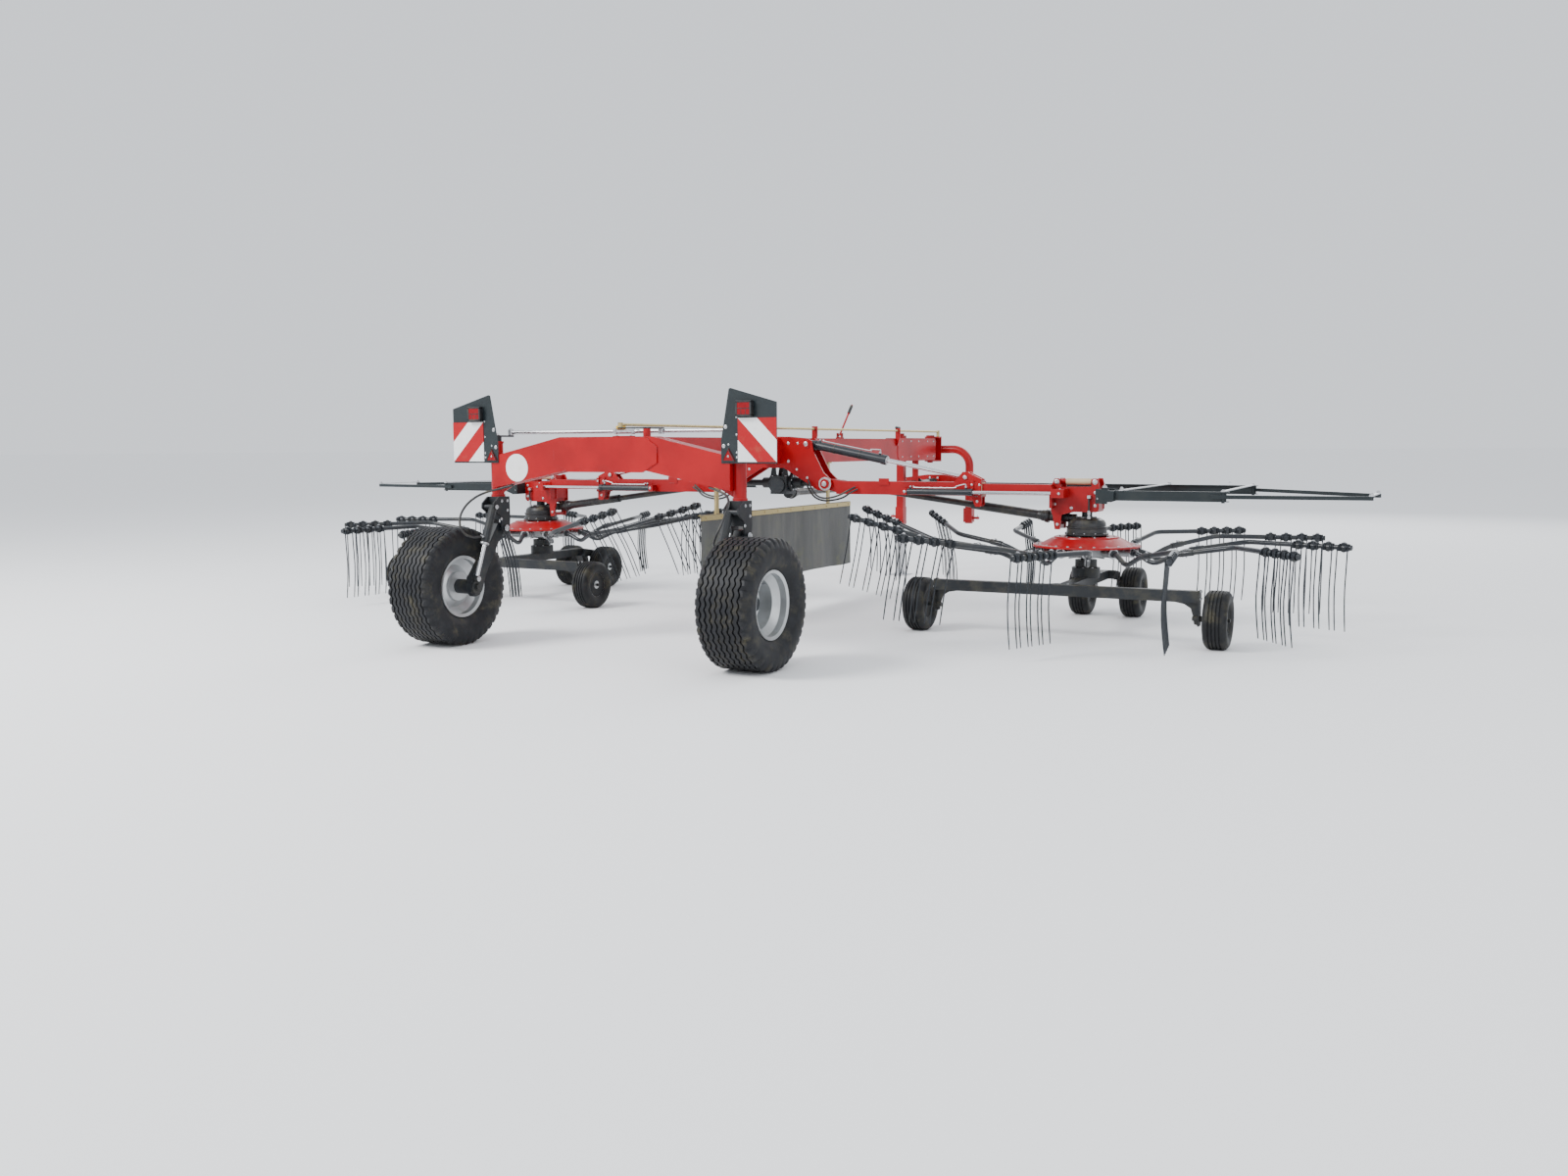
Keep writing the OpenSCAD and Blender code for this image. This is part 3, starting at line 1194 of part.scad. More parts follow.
// one tine arm along local X: root, crank, coupling sleeve, and the carrier bent to trail
module tine_arm(roll) {
  carrier_rise = tip_z - socket_z;
  knee = [crank_mid_r, 0, -crank_dip];
  rise = [crank_end_r, 0, 6];
  bend = [bend_r, 0, carrier_rise];
  cs = cos(bend_deg);
  reach_in = -bend_r * cs + sqrt(pow(bend_r * cs, 2) - pow(bend_r, 2) + pow(tine_inner_r, 2));
  reach_out = -bend_r * cs + sqrt(pow(bend_r * cs, 2) - pow(bend_r, 2) + pow(tine_circle_r, 2));
  step = (reach_out - reach_in) / (tine_pairs * 2 - 1);
  drop = tip_z - tine_clear;
  translate([0, 0, socket_z])
    rotate([-roll, 0, 0]) {
      x_rod(310, crank_start_r, 0, 0, arm_root_r);
      x_rod(socket_out - 9 + seat_gap, socket_out + 6, 0, 0, arm_root_r + 8, 24);
      bar([crank_start_r - 8, 0, 0], knee, arm_r, 8);
      bar(knee, rise, arm_r, 8);
      bar(rise, bend, arm_r, 8);
      bar(rise + (bend - rise) * 0.06, rise + (bend - rise) * 0.3, arm_r + 5, 8);
      translate(rise + (bend - rise) * 0.18) cylinder(h = 62, r = 6, center = true, $fn = 16);
      translate(bend)
        rotate([0, 0, -bend_deg]) {
          x_rod(-12, reach_out + 24, 0, 0, arm_r, 16);
          for (k = [0 : tine_pairs - 1])
            double_tine(reach_in + (2 * k + 0.5) * step, step / 2, drop);
        }
    }
}

module right_tine_arms() {
  color("black")
    translate([rotor_x, rotor_y, 0])
      for (k = [0 : arm_count - 1]) {
        azimuth = k * 360 / arm_count + 15;
        rotate([0, 0, azimuth]) tine_arm(cam_roll(azimuth));
      }
}

module on_shaft_line() {
  translate([shaft_in_x, rotor_y, shaft_in_z]) rotate([0, -atan2(shaft_dz, shaft_dx), 0]) children();
}

module right_shaft_inner() {
  color("black")
    on_shaft_line() {
      y_rod(-joint_half, joint_half, 0, 0, joint_r);
      x_rod(10, 1360, 0, 0, guard_in_r);
    }
}

module right_shaft_outer() {
  color("black")
    on_shaft_line()
      difference() {
        union() {
          x_rod(1240, shaft_len - 20, 0, 0, guard_out_r);
          y_rod(-joint_half, joint_half, shaft_len, 0, joint_r);
        }
        x_rod(1235, shaft_len - 60, 0, 0, guard_out_r - 4);
      }
}

// a small wheel: tyre and rim turned in one outline
module small_wheel(x, y) {
  h = small_w / 2;
  b = small_rim_r;
  outline = [
    [small_bore_r + fit_gap, -h * 0.7], [34, -h * 0.7], [34, -h * 0.2], [b - 14, -h * 0.2],
    [b - 14, -h * 0.6],
    [b, -h * 0.72], [b + 34, -h], [small_r - 22, -h * 0.96], [small_r, -h * 0.62], [small_r, h * 0.62],
    [small_r - 22, h * 0.96], [b + 34, h], [b, h * 0.72], [b - 14, h * 0.6], [b - 14, -h * 0.04],
    [34, -h * 0.04],
    [34, h * 0.5], [small_bore_r + fit_gap, h * 0.5]
  ];
  translate([x, y, small_r]) rotate([0, 90, 0]) rotate_extrude($fn = 72) polygon(outline);
}

module right_wheel_in() {
  color("black") small_wheel(rotor_x - carriage_half, rotor_y - carriage_behind);
}

module right_wheel_out() {
  color("black") small_wheel(rotor_x + carriage_half, rotor_y - carriage_behind);
}

module right_wheels_front() {
  color("black")
    for (s = [-1, 1])
      small_wheel(rotor_x + s * front_half, rotor_y + carriage_before);
}

module left_leg() {
  mirrored() right_leg();
}

module left_tyre() {
  mirrored() right_tyre();
}

module left_rim() {
  mirrored() right_rim();
}

module left_boom() {
  mirrored() right_boom();
}

module left_lift_barrel() {
  mirrored() right_lift_barrel();
}

module left_lift_rod() {
  mirrored() right_lift_rod();
}

module left_width_barrel() {
  mirrored() right_width_barrel();
}

module left_width_rod() {
  mirrored() right_width_rod();
}

module left_head() {
  mirrored() right_head();
}

module left_bell() {
  mirrored() right_bell();
}

module left_guard() {
  mirrored() right_guard();
}

module left_guard_ties() {
  mirrored() right_guard_ties();
}

module left_rotor_disc() {
  mirrored() right_rotor_disc();
}

module left_carriage() {
  mirrored() right_carriage();
}

module left_rotor_hub() {
  mirrored() right_rotor_hub();
}

module left_tine_arms() {
  mirrored() right_tine_arms();
}

module left_shaft_inner() {
  mirrored() right_shaft_inner();
}

module left_shaft_outer() {
  mirrored() right_shaft_outer();
}

module left_wheel_in() {
  mirrored() right_wheel_in();
}

module left_wheel_out() {
  mirrored() right_wheel_out();
}

module left_wheels_front() {
  mirrored() right_wheels_front();
}

main_beam();
arch_beam();
beam_hoses();
boom_carrier();
centre_gearbox();
main_drive_shaft();
jack_tube();
jack_leg();
curtain_bar();
swath_curtain();
marker_plates();
marker_boards();
rear_lamps();
headstock();
drive_input();
steering_rod();
bell_crank();
track_rod();
right_leg();
left_leg();
right_tyre();
left_tyre();
right_rim();
left_rim();
right_boom();
left_boom();
right_lift_barrel();
left_lift_barrel();
right_lift_rod();
left_lift_rod();
right_width_barrel();
left_width_barrel();
right_width_rod();
left_width_rod();
right_head();
left_head();
right_bell();
left_bell();
right_guard();
left_guard();
right_guard_ties();
left_guard_ties();
right_rotor_disc();
left_rotor_disc();
right_carriage();
left_carriage();
right_rotor_hub();
left_rotor_hub();
right_tine_arms();
left_tine_arms();
right_shaft_inner();
left_shaft_inner();
right_shaft_outer();
left_shaft_outer();
right_wheel_in();
left_wheel_in();
right_wheel_out();
left_wheel_out();
right_wheels_front();
left_wheels_front();
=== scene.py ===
"""Looks for the twin rotor hay rake: materials, tyres, hoses, curtain, bolts and the studio."""
import json
from math import cos, pi, radians, sin, sqrt

import bpy
from mathutils import Matrix, Vector


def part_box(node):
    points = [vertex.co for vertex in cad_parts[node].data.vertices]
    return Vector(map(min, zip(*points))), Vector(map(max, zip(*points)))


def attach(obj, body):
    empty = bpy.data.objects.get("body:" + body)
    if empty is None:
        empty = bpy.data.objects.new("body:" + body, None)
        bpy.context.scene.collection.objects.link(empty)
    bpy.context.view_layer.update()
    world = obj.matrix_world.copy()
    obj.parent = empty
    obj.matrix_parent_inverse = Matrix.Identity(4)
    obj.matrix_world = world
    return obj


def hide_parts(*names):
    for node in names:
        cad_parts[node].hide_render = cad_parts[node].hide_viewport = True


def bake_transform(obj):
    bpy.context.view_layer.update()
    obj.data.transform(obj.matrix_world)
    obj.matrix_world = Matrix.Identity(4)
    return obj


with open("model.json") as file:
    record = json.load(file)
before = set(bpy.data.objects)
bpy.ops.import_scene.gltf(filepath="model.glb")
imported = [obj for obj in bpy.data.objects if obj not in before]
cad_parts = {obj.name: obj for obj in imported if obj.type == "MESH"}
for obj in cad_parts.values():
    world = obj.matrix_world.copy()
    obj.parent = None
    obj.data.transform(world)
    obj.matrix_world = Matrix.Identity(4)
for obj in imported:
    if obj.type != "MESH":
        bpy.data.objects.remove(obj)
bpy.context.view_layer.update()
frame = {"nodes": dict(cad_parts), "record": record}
NODES = frame["nodes"]
SIDES = (("right", 1), ("left", -1))

# Bodies on the middle line; every other body has a right and a left one
CENTRE = ("frame", "headstock", "jack", "steering_rod", "bell_crank", "track_rod")

# Directions in the part's frame
RIGHT, AHEAD, UP = (1, 0, 0), (0, 1, 0), (0, 0, 1)
LEFT, BEHIND, DOWN = (-1, 0, 0), (0, -1, 0), (0, 0, -1)

# Camera, solved from the photograph, in the part's frame
CAM_POS = Vector((5.096, -10.0745, 1.414))
CAM_YAW = radians(27.643)
CAM_PITCH = radians(-6.431)
CAM_ROLL = radians(-0.278)
FOCAL_PX = 1281.423
IMAGE_W = 1600
SENSOR = 36.0

# Studio lights: name, place, size and power
LIGHTS = (
    ("key", (-7.0, -11.0, 10.0), 5.0, 2300),
    ("fill", (13.0, -8.0, 7.0), 10.0, 500),
    ("back", (2.0, 14.0, 9.0), 10.0, 900),
)
FLOOR_HALF = 400.0


# Materials

class Nodes:
    """Short hand for building a material's node tree."""

    def __init__(self, name):
        self.mat = bpy.data.materials.new(name)
        self.mat.use_nodes = True
        self.tree = self.mat.node_tree
        self.shader = self.tree.nodes["Principled BSDF"]
        coords = self.tree.nodes.new("ShaderNodeTexCoord")
        self.object = coords.outputs["Object"]
        self.normal = coords.outputs["Normal"]

    def fill(self, socket, value):
        """Links an output to an input, or sets its number or colour."""
        if isinstance(value, bpy.types.NodeSocket):
            self.tree.links.new(value, socket)
        elif socket.type == "RGBA":
            socket.default_value = (*value, 1)
        else:
            socket.default_value = value

    def node(self, kind, out, inputs=None, **settings):
        """Adds a node and gives back one of its outputs."""
        made = self.tree.nodes.new(kind)
        for key, value in settings.items():
            setattr(made, key, value)
        for key, value in (inputs or {}).items():
            self.fill(made.inputs[key], value)
        return made.outputs[out]

    def noise(self, scale, detail=4.0, rough=0.55, stretch=None):
        source = self.object
        if stretch:
            source = self.node("ShaderNodeMapping", "Vector", {"Vector": source, "Scale": stretch})
        inputs = {"Vector": source, "Scale": scale, "Detail": detail, "Roughness": rough}
        return self.node("ShaderNodeTexNoise", "Fac", inputs)

    def waves(self, direction, scale):
        """Even bands across one axis."""
        return self.node("ShaderNodeTexWave", "Fac", {"Vector": self.object, "Scale": scale},
                         wave_type="BANDS", bands_direction=direction)

    def ramp(self, value, stops):
        out = self.node("ShaderNodeValToRGB", "Color", {"Fac": value})
        elements = out.node.color_ramp.elements
        while len(elements) < len(stops):
            elements.new(0.5)
        for element, (place, colour) in zip(elements, stops):
            element.position = place
            element.color = (*colour, 1)
        return out

    def step(self, value, low, high, a=0.0, b=1.0):
        """Goes smoothly from a to b while the value goes from low to high."""
        inputs = {"Value": value, "From Min": low, "From Max": high, "To Min": a, "To Max": b}
        return self.node("ShaderNodeMapRange", "Result", inputs, interpolation_type="SMOOTHSTEP")

    def math(self, op, a, b=0.0):
        return self.node("ShaderNodeMath", "Value", {0: a, 1: b}, operation=op)

    def times(self, a, b):
        return self.math("MULTIPLY", a, b)

    def mix(self, factor, a, b):
        return self.node("ShaderNodeMix", "Result", {"Factor": factor, "A": a, "B": b}, data_type="RGBA")

    def part(self, source, axis):
        return self.node("ShaderNodeSeparateXYZ", axis, {"Vector": source})

    def height(self):
        return self.part(self.object, "Z")

    def upward(self):
        """How far a face looks up."""
        return self.part(self.normal, "Z")

    def edge(self, radius):
        """Nearness to an edge, from a rounded normal against the flat one."""
        bevel = self.node("ShaderNodeBevel", "Normal", {"Radius": radius}, samples=4)
        flat = self.node("ShaderNodeNewGeometry", "Normal")
        dot = self.node("ShaderNodeVectorMath", "Value", {0: bevel, 1: flat}, operation="DOT_PRODUCT")
        return self.step(dot, 0.995, 0.86)

    def bump(self, height, strength, distance):
        inputs = {"Height": height, "Strength": strength, "Distance": distance}
        self.set("Normal", self.node("ShaderNodeBump", "Normal", inputs))

    def set(self, name, value):
        self.fill(self.shader.inputs[name], value)

    def colour(self, value):
        self.set("Base Color", value)


DUST = (0.23, 0.2, 0.11)
CLIPPINGS = (0.13, 0.16, 0.035)
RED = (0.37, 0.0015, 0.005)
CHARCOAL = (0.011, 0.014, 0.018)


def darker(colour, share):
    return tuple(c * share for c in colour)


def paint(name, base, rough, coat, dust=0.35, low=0.3, high=1.3,
          worn=(0.3, 0.3, 0.31), shine=0.5, flake=0.0):
    """Sprayed paint with a fine ripple, dust that thickens downwards and worn edges."""
    n = Nodes(name)
    tone = n.mix(n.step(n.noise(3.1, 5), 0.3, 0.7), darker(base, 0.72), base)
    fine = n.noise(60, 6, 0.7)
    film = n.step(n.noise(9, 6, 0.65), 0.42, 0.72)
    sink = n.step(n.height(), high, low, 0.25, 1.0)
    lie = n.step(n.upward(), 0.3, 1.0, 0.35, 1.0)
    cover = n.times(n.times(film, sink), n.times(lie, dust))
    dusty = n.mix(cover, tone, DUST)
    speck = n.times(n.step(fine, 0.66, 0.74), n.times(sink, dust))
    specked = n.mix(speck, dusty, CLIPPINGS)
    rub = n.times(n.edge(0.003), n.step(n.noise(26, 4), 0.5, 0.66, 0.0, 0.55))
    n.colour(n.mix(rub, specked, worn))
    grit = n.math("ADD", cover, n.times(fine, 0.25))
    n.set("Roughness", n.step(grit, 0.0, 0.6, rough, 0.75))
    n.set("Specular IOR Level", shine)
    n.set("Metallic", flake)
    n.set("Coat Weight", coat)
    n.set("Coat Roughness", 0.12)
    n.bump(n.noise(210, 3), 0.05, 0.0006)
    return n.mat


def metal(name, base, rough, grain=(1, 1, 1), dust=0.2):
    """Bare or plated steel with a drawn grain and a little dust."""
    n = Nodes(name)
    grainy = n.noise(70, 5, 0.6, grain)
    tone = n.mix(n.step(grainy, 0.3, 0.7), darker(base, 0.75), base)
    film = n.times(n.step(n.noise(14, 5), 0.5, 0.75), dust)
    n.colour(n.mix(film, tone, DUST))
    n.set("Metallic", 1.0)
    n.set("Roughness", n.step(grainy, 0.2, 0.8, rough * 0.75, rough * 1.35))
    n.bump(grainy, 0.06, 0.0004)
    return n.mat


def rubber(name, base, dirt):
    """Matt tyre rubber with patches of dried soil."""
    n = Nodes(name)
    mottled = n.mix(n.step(n.noise(18, 6), 0.35, 0.7), darker(base, 0.6), base)
    crust = n.step(n.noise(11, 8, 0.7), 0.47, 0.72)
    streak = n.step(n.noise(5, 4, 0.5, (3.5, 1, 1)), 0.4, 0.7, 0.3, 1.0)
    cover = n.times(n.times(crust, streak), dirt)
    n.colour(n.mix(cover, mottled, DUST))
    n.set("Roughness", n.step(cover, 0.0, 0.6, 0.55, 0.9))
    n.set("Specular IOR Level", 0.28)
    n.bump(n.noise(150, 5, 0.7), 0.15, 0.001)
    return n.mat


def moulded(name, base, rough):
    """Moulded plastic or hose rubber with a fine grain and dust."""
    n = Nodes(name)
    film = n.times(n.step(n.noise(12, 6), 0.45, 0.75), n.step(n.upward(), 0.2, 1.0, 0.15, 0.5))
    n.colour(n.mix(film, base, DUST))
    n.set("Roughness", n.step(n.noise(40, 4), 0.3, 0.7, rough * 0.8, rough * 1.3))
    n.bump(n.noise(400, 2), 0.08, 0.0004)
    return n.mat


def cloth(name):
    """Coated curtain cloth: a plain weave under a dusty film."""
    n = Nodes(name)
    woven = n.math("MAXIMUM", n.waves("Y", 120), n.waves("Z", 120))
    streaks = n.noise(3.2, 6, 0.6, (1, 1.6, 0.35))
    shades = ((0.25, (0.028, 0.03, 0.03)), (0.55, (0.062, 0.064, 0.06)), (0.8, (0.12, 0.118, 0.1)))
    tone = n.ramp(streaks, shades)
    stain = n.times(n.step(n.noise(7, 7, 0.7), 0.5, 0.7), n.step(n.height(), 0.9, 0.3, 0.15, 0.6))
    n.colour(n.mix(stain, tone, (0.1, 0.105, 0.045)))
    n.set("Roughness", 0.72)
    n.set("Sheen Weight", 0.15)
    n.bump(woven, 0.25, 0.0008)
    return n.mat


def striped_board(name):
    """Red and white diagonal bands, falling to the outer side; white on the board's inner edge."""
    n = Nodes(name)
    across = n.math("ABSOLUTE", n.part(n.object, "X"))
    u = n.math("DIVIDE", n.math("SUBTRACT", BOARD_X + BOARD_SIDE, across), BOARD_SIDE)
    v = n.math("DIVIDE", n.math("SUBTRACT", BOARD_Z + BOARD_SIDE, n.height()), BOARD_SIDE)
    band = n.times(n.math("ADD", u, v), 2.0)
    odd = n.math("GREATER_THAN", n.math("MODULO", band, 2.0), 1.0)
    outer = n.math("GREATER_THAN", across, BOARD_X - 0.001)
    grime = n.step(n.noise(12, 6, 0.7), 0.5, 0.8, 0.0, 0.22)
    striped = n.mix(odd, (0.36, 0.003, 0.008), (0.82, 0.82, 0.82))
    plain = n.mix(outer, (0.82, 0.82, 0.81), striped)
    n.colour(n.mix(grime, plain, DUST))
    n.set("Roughness", 0.34)
    n.set("Specular IOR Level", 0.3)
    n.bump(n.noise(500, 2), 0.1, 0.0004)
    return n.mat


def lens(name):
    """Red lamp lens with fine ribs."""
    n = Nodes(name)
    n.colour(n.mix(n.noise(30, 3), (0.16, 0.001, 0.004), (0.3, 0.003, 0.008)))
    n.set("Roughness", 0.15)
    n.set("Specular IOR Level", 0.3)
    n.bump(n.waves("X", 60), 0.3, 0.001)
    return n.mat


# Inner edge of a marker board, its size and its lower edge, in metres
BOARD_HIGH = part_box("marker_boards")[1]
BOARD_X = 1.056
BOARD_SIDE = BOARD_HIGH.x - BOARD_X
BOARD_Z = BOARD_HIGH.z - BOARD_SIDE

# Material slots of the record
SLOTS = {
    "red": paint("red paint", RED, 0.3, 0.12, 0.12, shine=0.25),
    "dark": paint("charcoal paint", CHARCOAL, 0.42, 0.08, 0.35, worn=(0.2, 0.2, 0.21), shine=0.35),
    "guard": paint("guard paint", (0.011, 0.018, 0.021), 0.34, 0.12, 0.2,
                   worn=(0.16, 0.17, 0.18), shine=0.35),
    "arm": paint("arm paint", (0.014, 0.018, 0.024), 0.3, 0.2, 0.25,
                 worn=(0.25, 0.25, 0.26), shine=0.4),
    "rim": paint("silver paint", (0.58, 0.6, 0.61), 0.3, 0.25, 0.4, 0.1, 0.7, flake=0.7),
    "black": moulded("black plastic", (0.014, 0.015, 0.017), 0.35),
    "zinc": metal("zinc", (0.62, 0.63, 0.65), 0.38),
    "yellow_zinc": metal("yellow zinc", (0.52, 0.42, 0.2), 0.42),
    "rod": metal("chromed rod", (0.78, 0.79, 0.81), 0.12, (1, 30, 30), 0.06),
    "cast": metal("cast hub", (0.42, 0.43, 0.44), 0.5, dust=0.4),
    "tyre": rubber("tyre rubber", (0.013, 0.014, 0.017), 0.3),
    "small": rubber("small tyre rubber", (0.011, 0.012, 0.014), 0.34),
    "cloth": cloth("curtain cloth"),
    "lamp": lens("red lens"),
    "board": striped_board("marker board"),
}

# Looks of pieces whose material isn't a slot of the record
LOOKS = {
    "tine": metal("spring steel", (0.05, 0.055, 0.062), 0.36, dust=0.1),
    "hose": moulded("hose rubber", (0.016, 0.016, 0.017), 0.45),
    "nylon": moulded("nylon", (0.55, 0.43, 0.27), 0.5),
    "yellow": moulded("yellow plastic", (0.75, 0.52, 0.03), 0.4),
}


def dress_cad_nodes():
    """Every carried-over node gets the material of its record slot."""
    for row in frame["record"]["subparts"]:
        node = NODES[row["node"]]
        node.data.materials.clear()
        node.data.materials.append(SLOTS[row["material_slot"]])


# Shapes made of vertices and faces, in millimetres of the part's frame

def add_object(name, data):
    made = bpy.data.objects.new(name, data)
    bpy.context.scene.collection.objects.link(made)
    return made


def ring(count, start=0.0):
    """Angles of a full ring of copies."""
    return [start + 2 * pi * k / count for k in range(count)]


def circle(centre, axis, r, count, start=0.0):
    """Places on a circle about an axis along x, y or z."""
    places = []
    for a in ring(count, start):
        c, s = r * cos(a), r * sin(a)
        shift = (0, c, s) if axis[0] else (c, 0, s) if axis[1] else (c, s, 0)
        places.append(tuple(m + d for m, d in zip(centre, shift)))
    return places


def bands(rows, count, closed=False, flip=False):
    """Faces between neighbouring rows of points, where each row closes on itself."""
    faces = []
    for i in range(rows if closed else rows - 1):
        low, high = i * count, (i + 1) % rows * count
        for k in range(count):
            k2 = (k + 1) % count
            if flip:
                faces.append((low + k, high + k, high + k2, low + k2))
            else:
                faces.append((low + k, low + k2, high + k2, high + k))
    return faces


def caps(rows, count):
    """Faces over the first and the last row."""
    return [tuple(reversed(range(count))), tuple(range((rows - 1) * count, rows * count))]


def turn_to(axis):
    """The turn that takes the upright to an axis."""
    return Vector(UP).rotation_difference(Vector(axis)).to_matrix()


def about_z(degrees):
    return Matrix.Rotation(radians(degrees), 4, "Z")


class Shape:
    """Collects meshes into one piece."""

    def __init__(self):
        self.verts = []
        self.faces = []
        self.place = Matrix.Identity(4)

    def add(self, verts, faces):
        start = len(self.verts)
        self.verts += [self.place @ Vector(v) for v in verts]
        self.faces += [tuple(i + start for i in face) for face in faces]

    def lathe(self, centre, axis, profile, segments=32):
        """Revolves (radius, height) points about an axis."""
        turn = turn_to(axis)
        verts = []
        for r, h in profile:
            for a in ring(segments):
                verts.append(Vector(centre) + turn @ Vector((r * cos(a), r * sin(a), h)))
        faces = bands(len(profile), segments)
        if profile[0] != profile[-1]:
            faces += caps(len(profile), segments)
        self.add(verts, faces)

    def bolt(self, place, axis, r, washer=True):
        """A hexagon head on a washer, with the axis pointing out of the surface."""
        if washer:
            self.lathe(place, axis, ((r * 1.35, -0.5), (r * 1.35, r * 0.16), (r * 1.25, r * 0.22)), 14)
        self.lathe(place, axis, ((r, r * 0.1), (r, r * 0.66), (r * 0.82, r * 0.8)), 6)

    def bolts(self, places, axis, r):
        for place in places:
            self.bolt(place, axis, r)

    def bolt_pair(self, middle, half, axis, r, washer=True):
        """A bolt on both faces of a part, so far from its middle."""
        for s in (-1, 1):
            out = tuple(s * a for a in axis)
            self.bolt([m + half * o for m, o in zip(middle, out)], out, r, washer)

    def block(self, low, high, edge=2.0):
        """A box with chamfered edges."""
        x0, y0, z0 = low
        x1, y1, z1 = high
        e = edge
        outline = ((x0 + e, y0), (x1 - e, y0), (x1, y0 + e), (x1, y1 - e),
                   (x1 - e, y1), (x0 + e, y1), (x0, y1 - e), (x0, y0 + e))
        mid = Vector(((x0 + x1) / 2, (y0 + y1) / 2))
        verts = []
        for z, inset in ((z0, e), (z0 + e, 0), (z1 - e, 0), (z1, e)):
            for x, y in outline:
                dx = inset if x < mid.x else -inset
                dy = inset if y < mid.y else -inset
                verts.append((x + dx, y + dy, z))
        self.add(verts, caps(4, 8) + bands(4, 8))

    def prism(self, points, rear, front):
        """A flat plate: an outline seen from behind, with its thickness along y."""
        verts = [(x, y, z) for y in (rear, front) for x, z in points]
        self.add(verts, caps(2, len(points)) + bands(2, len(points)))

    def tube(self, points, r, sides=10):
        """A round tube along a run of points, with one radius or one for each point."""
        pts = [Vector(p) for p in points]
        radii = r if isinstance(r, list) else [r] * len(pts)
        side = (pts[1] - pts[0]).normalized().orthogonal().normalized()
        verts = []
        for i, p in enumerate(pts):
            along = (pts[min(i + 1, len(pts) - 1)] - pts[max(i - 1, 0)]).normalized()
            side = (side - along * side.dot(along)).normalized()
            other = along.cross(side)
            for a in ring(sides):
                verts.append(p + (side * cos(a) + other * sin(a)) * radii[i])
        self.add(verts, bands(len(pts), sides) + caps(len(pts), sides))

    def loop(self, centre, axis, r, wire, count=14):
        """A closed ring of wire."""
        turn = turn_to(axis)
        sides = 5
        verts = []
        for a in ring(count):
            for t in ring(sides):
                out = r + wire * cos(t)
                local = Vector((out * cos(a), out * sin(a), wire * sin(t)))
                verts.append(Vector(centre) + turn @ local)
        self.add(verts, bands(count, sides, closed=True, flip=True))

    def mirror(self):
        """Turns the right half's shape into the left half's."""
        self.verts = [Vector((-v.x, v.y, v.z)) for v in self.verts]
        self.faces = [tuple(reversed(face)) for face in self.faces]

    def piece(self, name, body, slot, look=None, smooth_deg=35.0, replaces=(), blend=None):
        """Makes the Blender object, dresses it and lets it ride on its body; with a blend it stays fixed
        where it is made.
        """
        mesh = bpy.data.meshes.new(name)
        mesh.from_pydata([tuple(v * 0.001) for v in self.verts], [], self.faces)
        mesh.validate()
        mesh.shade_smooth()
        mesh.set_sharp_from_angle(angle=radians(smooth_deg))
        mesh.materials.append(LOOKS[look] if look else SLOTS[slot])
        made = add_object(name, mesh)
        if blend:
            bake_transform(made)
        else:
            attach(made, body)
        if replaces:
            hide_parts(*replaces)
        return made


def curve(points, steps):
    """A smooth run through a few chosen points."""
    pts = [Vector(p) for p in points]
    run = []
    for i in range(len(pts) - 1):
        a, b, c, d = pts[max(i - 1, 0)], pts[i], pts[i + 1], pts[min(i + 2, len(pts) - 1)]
        for k in range(steps):
            t = k / steps
            run.append(0.5 * (2 * b + (c - a) * t + (2 * a - 5 * b + 4 * c - d) * t * t
                              + (3 * b - a - 3 * c + d) * t * t * t))
    return run + [pts[-1]]


def rounded(points, reach_back, steps=4):
    """A run of straight stretches whose corners are rounded off."""
    pts = [Vector(p) for p in points]
    run = [pts[0]]
    for a, b, c in zip(pts, pts[1:], pts[2:]):
        start = b + (a - b).normalized() * min(reach_back, (a - b).length / 2)
        end = b + (c - b).normalized() * min(reach_back, (c - b).length / 2)
        for k in range(steps + 1):
            t = k / steps
            run.append(start * (1 - t) ** 2 + b * 2 * t * (1 - t) + end * t * t)
    return run + [pts[-1]]


def own(side, body):
    """The name of a body on one half, or on the middle line."""
    return body if body in CENTRE else f"{side}_{body}"


def single(build, body, slot="zinc", **values):
    """One piece, named after the function that shapes it."""
    shape = Shape()
    build(shape)
    return shape.piece(build.__name__, body, slot, **values)


def both(build, body, slot="zinc", name=None, replaces=(), **values):
    """The same piece on the right and on the left half."""
    for side, s in SIDES:
        shape = Shape()
        build(shape)
        if s < 0:
            shape.mirror()
        nodes = tuple(f"{side}_{node}" for node in replaces)
        shape.piece(f"{side}_{name or build.__name__}", own(side, body), slot, replaces=nodes, **values)


def hose(name, body, points, blend=None):
    """A hydraulic hose along a smooth run."""
    run = curve(points, 6)
    shape = Shape()
    shape.tube(run, HOSE_R, 12)
    made = shape.piece(name, body, "black", look="hose", blend=blend)


def side_hoses(name, body, points, blend=None):
    """The same hose on both halves."""
    for side, s in SIDES:
        run = [(x * s, y, z) for x, y, z in points]
        across = None
        if blend:
            a, b, start, end = blend
            across = (own(side, a), own(side, b), (start[0] * s, *start[1:]), (end[0] * s, *end[1:]))
        hose(f"{side}_{name}", own(side, body), run, across)


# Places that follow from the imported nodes, in millimetres
TYRE_LOW, TYRE_HIGH = (corner * 1000 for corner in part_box("right_tyre"))
WHEEL = (TYRE_LOW + TYRE_HIGH) / 2
TYRE_R = (TYRE_HIGH.z - TYRE_LOW.z) / 2
TYRE_W = TYRE_HIGH.x - TYRE_LOW.x
RIM_LOW, RIM_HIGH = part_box("right_rim")
RIM_R = (RIM_HIGH.z - RIM_LOW.z) / 2 * 1000
LAMP_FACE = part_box("rear_lamps")[0].y * 1000

